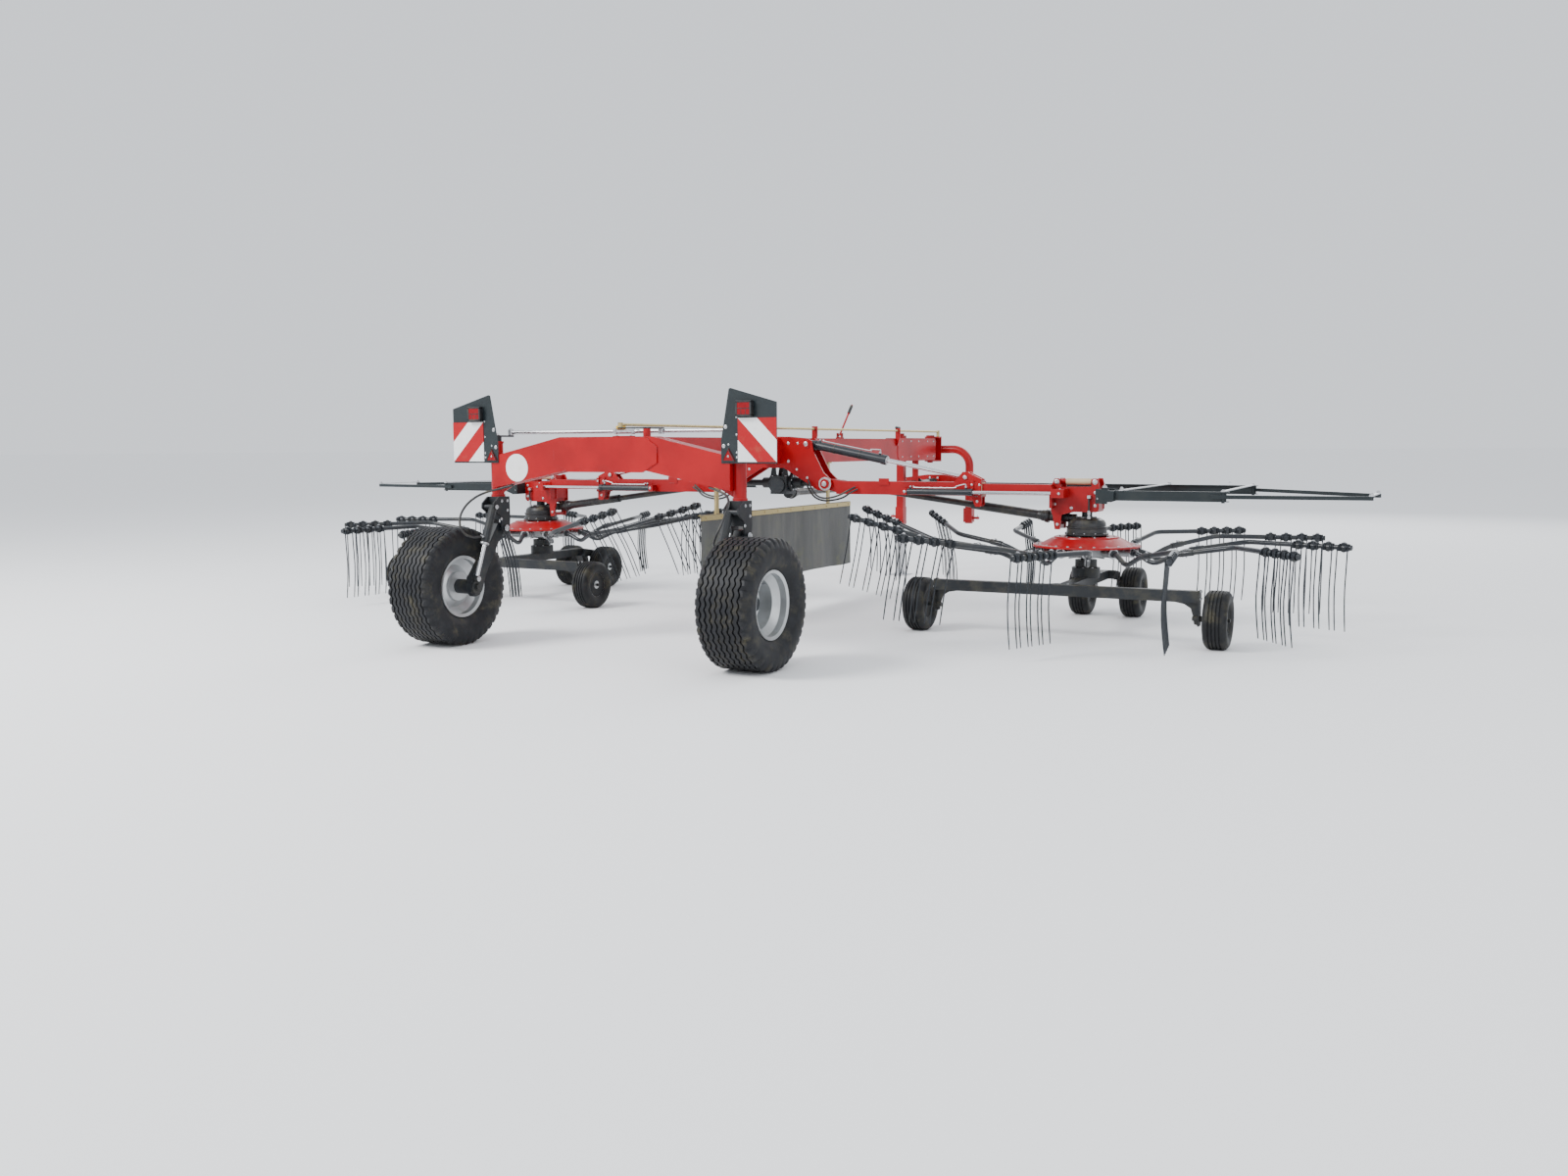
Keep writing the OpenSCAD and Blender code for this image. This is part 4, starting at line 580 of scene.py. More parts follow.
# Sizes of the part's source, in millimetres
AXLE_Y = -3187.5
KINGPIN_X, KINGPIN_Y = 1015, -2897.5
TRACK_Y = KINGPIN_Y + 160
LEG_TOP = Vector((KINGPIN_X - 31, KINGPIN_Y - 96, 990))
LEG_FOOT = Vector((KINGPIN_X - 31, AXLE_Y - 10, 487))
ARCH_Y = -2917.5
BOARD_Y = -2988.8
BOOM_Y, ROTOR_Y, ROTOR_X = -467.5, -347.5, 2660
SWIVEL_Y, BOW_Y, NOSE_Y = 3192.5, 3342.5, 3612.5
JACK_X, JACK_Y = -165, 2752.5
LEVER_Y = SWIVEL_Y - 2380
HINGE_X, HINGE_Z = 500, 1100
LIFT_BASE = Vector((320, BOOM_Y, 1434))
LIFT_EYE = Vector((1720, BOOM_Y, 1162))
WIDTH_Y, WIDTH_Z = -561.5, 1046
HEAD_LEFT, HEAD_RIGHT, HEAD_HALF = 2398, 2772, 92
DRIVE_Z = 1010
SHAFT_IN = Vector((500, ROTOR_Y, 1100))
SHAFT_OUT = Vector((2425, ROTOR_Y, 850))
CURTAIN_REAR, CURTAIN_FRONT = AXLE_Y + 1360, AXLE_Y + 4100
HOSE_R = 8.0
HOSE_DROPS = (0, 22, 44)
HOSE_CLIPS = (1792, 1092, 392)
HOSE_X = -99
FRONT_BLOCK, REAR_BLOCK = (2606, 2642), (-300, -240)


# Chassis wheels

RIM_FACE = -58.6


def lug_wave(k, cells):
    """The ribs' sideways swing at one sixth of a lug's pitch."""
    return (0, 0.6, 1, 1, 0.6, 0)[k % cells] * 2 - 1


def tyre_profile(half):
    """Radius, place across, share of the swing and lug notch, from bead to bead."""
    bead, r = RIM_R - 12, TYRE_R
    crown, ribs, crown_drop = 0.70, 7, 4
    groove_half, wall, depth = 6.2, 2.2, 13
    shoulder = [(bead, -0.62, 0, 0), (bead + 12, -0.74, 0, 0), (bead + 50, -0.9, 0, 0),
                (bead + 82, -0.985, 0, 0), (r - 85, -1.0, 0, 0), (r - 60, -1.0, 0, 0),
                (r - 56, -0.995, 0, 1), (r - 30, -0.965, 0, 1), (r - 12, -0.91, 0.2, 1),
                (r - 3, -0.83, 0.6, 1)]
    groove = ((-groove_half, 0), (wall - groove_half, 1), (groove_half - wall, 1), (groove_half, 0))
    profile = list(shoulder)
    for k in range(ribs + 1):
        mid = -crown + 2 * crown * k / ribs
        drop = crown_drop * (mid / crown) ** 2
        for dx, down in groove:
            profile.append((r - drop - down * depth, mid + dx / half, 1, 0))
    return profile + [(r, -w, z, g) for r, w, z, g in reversed(shoulder)]


def chassis_tyre(shape):
    """Zigzag ribs across the crown and short lugs at the shoulders."""
    lugs, cells, swing, notch_depth = 40, 6, 5.5, 12.0
    rings = lugs * cells
    half = TYRE_W / 2
    profile = tyre_profile(half)
    verts = []
    for r, w, zig, lug in profile:
        for k, a in enumerate(ring(rings)):
            notch = notch_depth if lug and k % cells in (4, 5) else 0.0
            across = w * half + swing * zig * lug_wave(k, cells)
            radius = r - notch * (1 if r > TYRE_R - 50 else 0.25)
            verts.append((WHEEL.x + across, WHEEL.y + radius * cos(a), WHEEL.z + radius * sin(a)))
    shape.add(verts, bands(len(profile), rings, flip=True))


def wheel_nuts(shape):
    """Eight studs with their nuts, and the valve."""
    for place in circle((WHEEL.x + RIM_FACE, WHEEL.y, WHEEL.z), RIGHT, 84, 8, 0.2):
        shape.bolt(place, RIGHT, 12)
        shape.lathe(place, RIGHT, ((5, 0), (5, 17), (4, 18)), 8)
    valve = ((5, 0), (5, 26), (3.5, 27), (3.5, 34))
    shape.lathe((WHEEL.x + 12, WHEEL.y + 100, WHEEL.z + 118), RIGHT, valve, 10)


def hub_cap(shape):
    profile = ((68, RIM_FACE - 1), (68, RIM_FACE + 8), (62, -24), (58, 4), (54, 20), (46, 28), (20, 31))
    shape.lathe(WHEEL, RIGHT, profile, 36)


# Small wheels of the rotor carriage

SMALL_R, SMALL_HALF = 205, 82.5
CARRIAGE_HALF, FRONT_HALF = 1100, 210
CARRIAGE_REAR, CARRIAGE_FRONT = ROTOR_Y - 700, ROTOR_Y + 750
SMALL_WHEELS = {
    "wheel_in": ((ROTOR_X - CARRIAGE_HALF, CARRIAGE_REAR, SMALL_R),),
    "wheel_out": ((ROTOR_X + CARRIAGE_HALF, CARRIAGE_REAR, SMALL_R),),
    "wheels_front": ((ROTOR_X - FRONT_HALF, CARRIAGE_FRONT, SMALL_R),
                     (ROTOR_X + FRONT_HALF, CARRIAGE_FRONT, SMALL_R)),
}


def small_tyre(shape, middle):
    """Round shoulders and plain ribs; places across are shares of the half width."""
    side = ((100, 0.66), (108, 0.78), (126, 0.93), (146, 1), (168, 1), (180, 0.97), (190, 0.89),
            (198, 0.79), (203, 0.70))
    profile = [(r, -w * SMALL_HALF) for r, w in side]
    for mid in (-0.44, -0.15, 0.15, 0.44):
        for dx, down in ((-5, 0), (-3.4, 1), (3.4, 1), (5, 0)):
            profile.append((SMALL_R - 1.5 * abs(mid) - down * 8, mid * SMALL_HALF + dx))
    profile += [(r, w * SMALL_HALF) for r, w in reversed(side)]
    shape.lathe(middle, RIGHT, profile, 72)


def small_rim(shape, middle):
    """Hub, wheel disc and rim; places across are shares of the half width."""
    outer = ((13.5, 0.60), (20, 0.62), (33, 0.58), (35, 0.50), (36, 0.05), (44, 0.02), (80, 0.02),
             (88, 0.10), (93, 0.30), (96, 0.56), (103, 0.64), (108.5, 0.66), (109, 0.72), (105, 0.74))
    inner = ((105, -0.74), (109, -0.72), (108.5, -0.66), (103, -0.64), (96, -0.56), (91, -0.30),
             (86, -0.24), (40, -0.24), (36, -0.30), (35, -0.66), (13.5, -0.68))
    shape.lathe(middle, RIGHT, [(r, w * SMALL_HALF) for r, w in outer + inner], 48)


def small_nuts(shape, middle):
    """Five wheel bolts, and the axle's end on both sides."""
    x, y, z = middle
    shape.bolts(circle((x + 0.02 * SMALL_HALF, y, z), RIGHT, 62, 5, 0.3), RIGHT, 7.5)
    shape.bolt_pair(middle, 0.62 * SMALL_HALF, RIGHT, 13)


def at_all(build, middles):
    """The same wheel's part at each of its places."""
    return lambda shape: [build(shape, middle) for middle in middles]


# Rotors

# Azimuth of the first arm, the cam's highest roll and its azimuth, in degrees
FIRST_ARM, LIFT_ROLL, LIFT_AZIMUTH = 15, 28, 205
ARM_COUNT = 12
BEND_R, BEND_DEG = 1180, 38
SOCKET_Z, CARRIER_RISE = 600, 80
ARM_R = 19
TINE_PAIRS, TINE_D, COIL_R, COIL_HALF = 4, 9.5, 29, 14
TINE_IN, TINE_OUT = 1500, 1860


def reach(radius):
    """How far along the trailing carrier a circle about the rotor axis is met."""
    cs = BEND_R * cos(radians(BEND_DEG))
    return sqrt(cs * cs - BEND_R ** 2 + radius ** 2) - cs


REACH_IN, REACH_OUT = reach(TINE_IN), reach(TINE_OUT)
TINE_STEP = (REACH_OUT - REACH_IN) / (TINE_PAIRS * 2 - 1)
RISE = Vector((740, 0, 6))
BEND = Vector((BEND_R, 0, CARRIER_RISE))
CRANK = BEND - RISE


def azimuth(k):
    return FIRST_ARM + 360 * k / ARM_COUNT


def socket_place(k):
    return Matrix.Translation((ROTOR_X, ROTOR_Y, SOCKET_Z)) @ about_z(azimuth(k))


def arm_place(k):
    """The arm in its socket, rolled where the cam lifts its tines."""
    roll = LIFT_ROLL * max(0.0, cos(radians(azimuth(k) - LIFT_AZIMUTH))) ** 2
    return socket_place(k) @ Matrix.Rotation(radians(-roll), 4, "X")


def carrier_place(k):
    return arm_place(k) @ Matrix.Translation(BEND) @ about_z(-BEND_DEG)


def holders():
    """Places along the carrier of the double tines' holders."""
    return [REACH_IN + (2 * k + 0.5) * TINE_STEP for k in range(TINE_PAIRS)]


def arm_tubes(shape):
    """Cranked arm tubes with their coupling sleeves, and the carriers with the tines' holders."""
    end = BEND + about_z(-BEND_DEG) @ Vector(RIGHT) * (REACH_OUT + 24)
    path = rounded([(300, 0, 0), (424, 0, 0), (560, 0, -78), RISE, BEND, end], 58)
    length = CRANK.length * 0.24
    sleeve = ((20, 0), (24, 0.5), (24, 16), (26, 18), (26, 24), (24, 26), (24, length - 4), (22.5, length))
    for k in range(ARM_COUNT):
        shape.place = arm_place(k)
        shape.tube(path, ARM_R, 14)
        shape.lathe(RISE + CRANK * 0.06, CRANK.normalized(), sleeve, 18)
        shape.lathe((389.5, 0, 0), RIGHT, ((21, 0), (28, 0.5), (28, 14), (26, 16)), 20)
        shape.place = carrier_place(k)
        for along in holders():
            shape.block((along - 15, -16, -32), (along + 15, 16, 35), 3)
        shape.lathe((REACH_OUT + 18, 0, 0), RIGHT, ((20.5, 0), (20.5, 8), (16, 11)), 14)


def tines(shape):
    """Sprung double tines: two coils each, and a wire that bows back and then forward."""
    wire = TINE_D / 2
    turn_r = COIL_R - wire
    steps, turns = 11, 2.75
    bridge = TINE_STEP / 2 - 6
    drop = ((-turn_r, 0), (-turn_r, -40), (-turn_r - 6, -150), (-turn_r - 14.5, -300),
            (-turn_r - 6, -450), (-12, -600))
    for k in range(ARM_COUNT):
        shape.place = carrier_place(k)
        for along in holders():
            for s in (-1, 1):
                start = along + s * TINE_STEP / 2 + s * (COIL_HALF - wire)
                coil = []
                for i in range(int(steps * turns) + 1):
                    a = pi - s * 2 * pi * i / steps
                    coil.append((start - s * i * TINE_D / steps, turn_r * cos(a), turn_r * sin(a)))
                shape.tube(coil, wire, 6)
                run = curve([(start, y, z) for y, z in drop], 2)
                shape.tube(run, [wire] * (len(run) - 1) + [wire * 0.75], 6)
            shape.tube([(along - bridge, 0, turn_r), (along + bridge, 0, turn_r)], wire, 6)


def arm_bolts(shape):
    """Holder bolts, and the lynch pins of the couplings."""
    for k in range(ARM_COUNT):
        shape.place = carrier_place(k)
        for along in holders():
            shape.bolt((along, 0, 35), UP, 8.5)
            shape.bolt((along, 0, -32), DOWN, 7.5, False)
        shape.place = arm_place(k)
        pin = RISE + CRANK * 0.18
        profile = ((5, 0), (6, 1), (6, 62), (9, 63), (9, 68), (6, 70))
        shape.lathe(pin - Vector((0, 0, 34)), UP, profile, 12)
        shape.loop(pin + Vector((16, 0, 30)), (0.3, 0, 1), 17, 1.8)


def socket_rings(shape):
    """A bright collar at each socket's mouth, and its two clamp bolts."""
    for k in range(ARM_COUNT):
        shape.place = socket_place(k)
        shape.lathe((381, 0, 0), RIGHT, ((34, 0), (40, 0.4), (40.5, 8.6), (30, 9)), 28)
        for s in (-1, 1):
            shape.bolt((330, s * 30, 16), (0, s * 0.85, 0.5), 6.5)


def disc_bolts(shape):
    shape.bolts(circle((ROTOR_X, ROTOR_Y, 648), UP, 376, 24, radians(7.5)), UP, 9.5)
    shape.bolts(circle((ROTOR_X, ROTOR_Y, 710.8), UP, 214, 12), UP, 7)


# Head, bell, carriage and guard

# Hose port on the bell, and the ends of the guard's rails with their angles
PORT_X, PORT_Y = 2700, -457
RAIL_ENDS = ((4660, -437.5, 5.4), (4680, 112.5, -45.3))


def bell_ribs(shape):
    """Upright ribs on the bell's dome, and the ringed boot at the drive's neck."""
    rib = ((76, 852), (100, 852), (128, 837), (142, 816), (142, 806), (76, 806))
    for a in ring(16):
        shape.place = Matrix.Translation((ROTOR_X, ROTOR_Y, 0)) @ Matrix.Rotation(a, 4, "Z")
        shape.prism(rib, -2.5, 2.5)
    shape.place = Matrix.Identity(4)
    boot = ((31, 0), (38, 2), (38, 12), (33, 15), (33, 30), (38, 33), (38, 44), (31, 46))
    shape.lathe((2480, ROTOR_Y, SHAFT_OUT.z), RIGHT, boot, 24)


def bell_bolts(shape):
    """Flange bolts, the hose's port and the block above it."""
    shape.bolts(circle((ROTOR_X, ROTOR_Y, 736.5), UP, 160, 12, 0.13), UP, 5.5)
    port = ((13, 0), (13, 20), (9, 22), (9, 30), (11.5, 32), (11.5, 62))
    shape.lathe((PORT_X, PORT_Y, 850), UP, port, 8)
    shape.block((PORT_X - 15, PORT_Y - 14, 1004), (PORT_X + 15, ROTOR_Y - HEAD_HALF - 0.1, 1030), 3)


def head_roller(shape):
    shape.lathe((HEAD_LEFT + 96, ROTOR_Y, 1132), RIGHT, ((22, 0), (25, 1), (25, 196), (22, 197)), 24)


def head_bolts(shape):
    """Bolts of the head's side plates, and the width cylinder's pin with its grease point."""
    left, right = HEAD_LEFT, HEAD_RIGHT
    for x, z, r in ((left + 44, 1132, 15), (right - 34, 1132, 15), (left + 30, 1060, 9), (left + 30, 960, 9),
                    (right - 30, 1050, 9), (right - 30, 950, 9), (left + 54, 800, 9), (2560, 930, 9)):
        shape.bolt_pair((x, ROTOR_Y, z), HEAD_HALF, AHEAD, r)
    shape.bolt_pair((2500, WIDTH_Y, WIDTH_Z), 34, AHEAD, 9, False)
    shape.lathe((2500, WIDTH_Y, 1070), UP, ((4, 0), (4, 8), (6, 9), (3, 15)), 8)


def carriage_bolts(shape):
    """Bolts of the end brackets, the front wheels' fork, the gussets and the column's foot."""
    end = CARRIAGE_HALF - SMALL_HALF - 50
    for y in (-25, 25):
        for z in (395, 345):
            shape.bolt_pair((ROTOR_X, CARRIAGE_REAR + y, z), end + 12, RIGHT, 8)
    shape.bolt_pair((ROTOR_X, CARRIAGE_FRONT, SMALL_R), 103.5, RIGHT, 11)
    shape.bolts([(ROTOR_X + x, CARRIAGE_REAR + 60, 396) for x in (-30, 30)], UP, 9)
    shape.bolts(circle((ROTOR_X, ROTOR_Y, 468), UP, 94, 8), UP, 7)


def guard_bolts(shape):
    """Bolts of the guard's pads, rails and bracket, and the ring bolt beside the head."""
    pad_z = 1079.6
    shape.bolts(((2960, -527.5, pad_z + 12), (3496, 1137, pad_z + 12)), UP, 10)
    shape.bolts(((3690, -527.5, pad_z), (3690, 1092.5, pad_z)), UP, 10)
    shape.bolts([(*end[:2], 1066) for end in RAIL_ENDS], UP, 8)
    shape.bolt((2834.3, -529.5, 1094), UP, 17)
    shape.loop((2834.3, -529.5, 1112), RIGHT, 14, 2)
    shape.bolts([(2786.5, y, 1010) for y in (-560, -500, -330, -295)], RIGHT, 8)


def guard_caps(shape):
    """Plastic plugs in the open ends of the guard's rails."""
    for x, y, angle in RAIL_ENDS:
        shape.place = Matrix.Translation((x, y, 1034)) @ about_z(angle)
        shape.block((-2, -14.6, -14.6), (5, 14.6, 14.6), 2)


# Booms and their cylinders

LIFT_ALONG = (LIFT_EYE - LIFT_BASE).normalized()
LIFT_UP = (Vector(UP) - LIFT_ALONG * LIFT_ALONG.z).normalized()
COLLAR_XS = (1783, 1847)
MOUTH_X = 1858


def on_lift(t, over=0):
    """A point so far along the lift cylinder's line, and so far over it."""
    return LIFT_BASE + LIFT_ALONG * t + LIFT_UP * over


def lift_fittings(shape):
    """Two ports, the steel line on the barrel and the gland at the rod."""
    for t in (90, 650):
        shape.lathe(on_lift(t, 44), LIFT_UP, ((12.5, 0), (12.5, 9), (9, 10), (9, 15)), 6)
    line = ((650, 54), (650, 66), (638, 72), (560, 60), (540, 49), (150, 48), (128, 52), (112, 62))
    shape.tube(curve([on_lift(t, over) for t, over in line], 4), 5, 8)
    gland = ((18.6, 8.2), (32, 8.2), (35, 10), (35, 14), (22, 18), (18.6, 18), (18.6, 8.2))
    shape.lathe(on_lift(712), LIFT_ALONG, gland)


def lift_bands(shape):
    """Two clamps that hold the steel line on the barrel."""
    band = ((36.1, 0), (38.5, 1), (38.5, 15), (36.1, 16), (36.1, 0))
    for t in (230, 470):
        shape.lathe(on_lift(t), LIFT_ALONG, band)


def width_fittings(shape):
    """Two ports and the steel line of the width cylinder."""
    for x in (1274, 1746):
        shape.lathe((x, WIDTH_Y, WIDTH_Z + 36), UP, ((10, 0), (10, 8), (7, 9), (7, 13)), 6)
    line = ((1746, 48), (1746, 58), (1730, 62), (1660, 44), (1640, 34), (1330, 33), (1310, 36), (1296, 46))
    shape.tube(curve([(x, WIDTH_Y, WIDTH_Z + over) for x, over in line], 4), 4.5, 8)


def boom_bolts(shape):
    """Bolts of the lift eye, the collar at the outer tube's mouth and the width cylinder's foot."""
    shape.bolt_pair(LIFT_EYE, 48, AHEAD, 12)
    for x in COLLAR_XS:
        for z in (1036, 1104):
            shape.bolt_pair((x, BOOM_Y, z), 64, AHEAD, 7)
        shape.bolts([(x, BOOM_Y + y, 1134) for y in (-30, 30)], UP, 7)
    shape.bolt_pair((1822, BOOM_Y, 972), 43, AHEAD, 8)
    shape.bolt((1232, WIDTH_Y - 26, WIDTH_Z), BEHIND, 9)


def slide_pads(shape):
    """Nylon pads at the mouth of the outer tube."""
    for s in (-1, 1):
        y = BOOM_Y + s * 47
        shape.block((MOUTH_X, y - 5, 1034), (MOUTH_X + 5, y + 5, 1106), 1)
    for z in (1022, 1117):
        shape.block((MOUTH_X, BOOM_Y - 36, z - 4), (MOUTH_X + 5, BOOM_Y + 36, z + 4), 1)


def carrier_bolts(shape):
    """Bolts of the carrier plates, the lift cylinder's pin and the hinge."""
    for x, z, r in ((150, 1440, 10), (150, 1290, 10), (230, 1220, 8), (330, 1150, 8), (240, 1440, 8)):
        shape.bolt_pair((x, BOOM_Y, z), 74, AHEAD, r)
    shape.bolt_pair(LIFT_BASE, 83, AHEAD, 15)
    shape.bolts(circle((HINGE_X, BOOM_Y - 83, HINGE_Z), BEHIND, 49, 8), BEHIND, 5.5)
    shape.bolt((HINGE_X, BOOM_Y - 101, HINGE_Z), BEHIND, 16)
    shape.bolt((HINGE_X, BOOM_Y + 79, HINGE_Z), AHEAD, 13)


def hinge_ring(shape):
    shape.lathe((HINGE_X, BOOM_Y - 83, HINGE_Z), BEHIND, ((57, 0), (57, 2), (41, 2.5)), 40)


def shaft_cone(shape):
    """Bell mouth of the shaft's guard beside the inner joint."""
    profile = ((30, 66), (38, 64), (40, 66), (39, 96), (36, 100), (35, 128), (32, 130), (30, 160), (27, 168))
    shape.lathe(SHAFT_IN, (SHAFT_OUT - SHAFT_IN).normalized(), profile)


def outer_cone(shape):
    """Bell mouth of the shaft's guard beside the outer joint."""
    profile = ((36.1, 62), (50, 60), (52, 64), (51, 88), (45, 92), (44, 118), (40, 122), (38, 148),
               (36.1, 152), (36.1, 62))
    shape.lathe(SHAFT_OUT, (SHAFT_IN - SHAFT_OUT).normalized(), profile)


# Rear chassis

# Edges of the lamp pair, and the triangle of the reflector with its middle
LAMP_X, LAMP_Z = (1062, 1166), (1612, 1702)
TRIANGLE, TRIANGLE_MID = ((937, 1320), (1033, 1320), (985, 1404)), Vector((985, 1348))


def marker_bolts(shape):
    """Large bolts at the plates' slanted edges, small ones beside the boards and at the reflectors."""
    for z in (1418, 1542):
        lean = max(0, z - 1456) * 60 / 330
        shape.bolt((948 + lean, BOARD_Y, z), BEHIND, 9.5)
    shape.bolts([(1045, BOARD_Y, z) for z in (1345, 1376, 1492, 1604)], BEHIND, 4.8)
    shape.bolts(((984, BOARD_Y, 1428), (984, BOARD_Y - 7.5, 1352)), BEHIND, 4.8)
    shape.bolts([(x, BOARD_Y + 6, z) for x, z in ((1005, 1345), (1050, 1700))], AHEAD, 9)


def lamp_bezels(shape):
    """Black housings round the lamps and borders round the reflectors."""
    (x0, x1), (z0, z1) = LAMP_X, LAMP_Z
    y0, y1 = LAMP_FACE - 2.5, BOARD_Y - 0.4
    for low, high in (((x0 - 6, z0 - 6), (x1 + 6, z0 + 7)), ((x0 - 6, z1 - 7), (x1 + 6, z1 + 7)),
                      ((x0 - 6, z0), (x0 + 7, z1)), ((x1 - 7, z0), (x1 + 6, z1))):
        shape.block((low[0], y0, low[1]), (high[0], y1, high[1]), 1.5)
    shape.block((x0 + 4, y0 + 1, 1655), (x1 - 4, y1, 1660), 1)
    for x in (x0 + 33, x0 + 66):
        shape.block((x, y0 + 1.4, z0 + 4), (x + 4, y1, 1656), 1)
    for a, b in zip(TRIANGLE, TRIANGLE[1:] + TRIANGLE[:1]):
        a, b = Vector(a), Vector(b)
        inner_a, inner_b = a + (TRIANGLE_MID - a) * 0.16, b + (TRIANGLE_MID - b) * 0.16
        shape.prism((a, b, inner_b, inner_a), BOARD_Y - 11, BOARD_Y - 7)


def leg_rod(shape):
    """Chromed rod of the leg's cylinder, and the fitting of its hose."""
    down = LEG_FOOT - LEG_TOP
    shape.tube([LEG_TOP + down * 0.52, LEG_FOOT - down.normalized() * 20], 16.4, 20)
    fitting = ((11, 20), (11, 40), (8.6, 41), (8.6, 52))
    shape.lathe((LEG_TOP.x, -3083, 768.5), (0, -0.927, 0.376), fitting, 6)


def leg_bolts(shape):
    """Bolts of the leg's plates, the cylinder's pins and gland, and the nuts over the kingpin."""
    for y, z in ((30, 1030), (-30, 1030), (30, 960), (-40, 900)):
        shape.bolt_pair((KINGPIN_X, KINGPIN_Y + y, z), 57, RIGHT, 8)
    shape.bolt_pair((KINGPIN_X, KINGPIN_Y + 4, 832), 68, RIGHT, 17)
    shape.bolt((KINGPIN_X - 65, LEG_TOP.y, LEG_TOP.z), LEFT, 12)
    shape.bolt((KINGPIN_X - 55, LEG_FOOT.y, LEG_FOOT.z), LEFT, 14)
    down = LEG_FOOT - LEG_TOP
    shape.lathe(LEG_TOP + down * 0.505, down, ((31, 0), (32, 1), (32, 10), (24, 14)), 20)
    shape.bolt((KINGPIN_X, KINGPIN_Y, 1505.4), UP, 18)
    shape.bolt((KINGPIN_X, TRACK_Y, 1545), UP, 12)


def track_joint(shape):
    """Middle joint of the track rod with its lock nuts."""
    profile = ((15, 0), (20, 1), (20, 26), (17, 28), (17, 150), (20, 152), (20, 178), (15, 180))
    shape.lathe((-90, TRACK_Y, 1525), RIGHT, profile, 6)


def track_block(shape):
    shape.block((-62, TRACK_Y - 20, 1541), (0, TRACK_Y + 20, 1564), 3)


# Main beam

def lever_grip(shape):
    """Ringed grip on the upper end of the lever."""
    foot, top = Vector((0, LEVER_Y, 1520)), Vector((-6, LEVER_Y + 290, 1808))
    start = foot + (top - foot) * 0.72
    length = (top - start).length - 14
    profile = [(10, 0), (15, 2)]
    for k in range(6):
        t = 8 + (length - 20) * k / 5
        profile += [(15, t), (13.4, t + 3), (13.4, t + 6), (15, t + 9)]
    profile += [(15, length), (10, length + 5)]
    shape.lathe(start, (top - foot).normalized(), profile, 18)


def beam_bolts(shape):
    """Bolts on and beside the beam, and at the lever's foot."""
    for y in (ARCH_Y + 170, BOOM_Y - 330):
        shape.bolts([(x, y, 1493) for x in (-60, 60)], UP, 9)
        shape.bolt_pair((0, y, 1420), 82, RIGHT, 9)
    shape.bolts([(78, y, 1450) for y in (99.5, 2039.5)], AHEAD, 8)
    for s in (-1, 1):
        for y in (2180, 2420, 2640, 2900, 3080):
            if s > 0 or abs(y - JACK_Y) > 160:
                shape.bolts([(s * 80, y, z) for z in (1300, 1462)], (s, 0, 0), 7)
    shape.bolts([(x, LEVER_Y + 16, 1498) for x in (-15, 15)], UP, 6)


def gearbox_bolts(shape):
    """Bolts of the gearbox's flanges and lid, and the breather."""
    for s in (-1, 1):
        shape.bolts(circle((s * 108, ROTOR_Y, SHAFT_IN.z), RIGHT, 60, 8, 0.39), (s, 0, 0), 6.5)
        shape.bolts([(s * 64, ROTOR_Y + y, 1158) for y in (-76, 76)], UP, 8)
    shape.bolts(circle((0, ROTOR_Y + 118, 1080), AHEAD, 52, 6), AHEAD, 6)
    breather = ((12, 0), (12, 8), (7, 9), (7, 18), (11, 20), (11, 28), (6, 32))
    shape.lathe((0, ROTOR_Y, 1158), UP, breather, 12)


def curtain_sheet(shape):
    """The hanging sheet: held straight at the top, in soft folds below."""
    top, low, sheet_x = 890, 300, 62.3
    across, down, thick = 120, 22, 1.6
    face = [(-thick, j / down) for j in range(down + 1)]
    section = face + [(-side, v) for side, v in reversed(face)]
    verts = []
    for i in range(across + 1):
        y = CURTAIN_REAR + (CURTAIN_FRONT - CURTAIN_REAR) * i / across
        for side, v in section:
            fold = 9 * sin(y / 118 + 0.8) + 6 * sin(y / 61 + 2.1 + v) + 7 * sin(y / 317)
            lift = 5 * sin(y / 205 + 1.0) * v
            verts.append((sheet_x + side + fold * v ** 1.3 * 0.8, y, top + (low - top) * v + lift))
    size = across + 1, len(section)
    shape.add(verts, bands(*size, flip=True) + [end[::-1] for end in caps(*size)])


def clamp_places():
    """Places along the curtain of the bolts through its clamp."""
    return [CURTAIN_REAR + 60 + (CURTAIN_FRONT - CURTAIN_REAR - 120) * k / 11 for k in range(12)]


def curtain_bolts(shape):
    shape.bolts([(55, y, 866) for y in clamp_places()], LEFT, 7)


def curtain_strip(shape):
    """Flat strip that clamps the cloth from the other side."""
    shape.block((64.6, CURTAIN_REAR + 4, 846), (69, CURTAIN_FRONT - 4, 886), 1)
    shape.bolts([(69, y, 866) for y in clamp_places()], RIGHT, 6)


def beam_hose_clips(shape):
    """Clips along the beam, and the blocks at both ends of the hoses."""
    for y in HOSE_CLIPS:
        shape.block((-111, y - 12, 1374), (-75.3, y + 12, 1450), 3)
        shape.block((-115, y - 9, 1378), (-110.5, y + 9, 1446), 1)
    shape.block((HOSE_X - 20, FRONT_BLOCK[0], 1374), (-80.3, FRONT_BLOCK[1], 1454), 4)
    shape.block((HOSE_X - 24, REAR_BLOCK[0], 1354), (-75.3, REAR_BLOCK[1], 1458), 4)


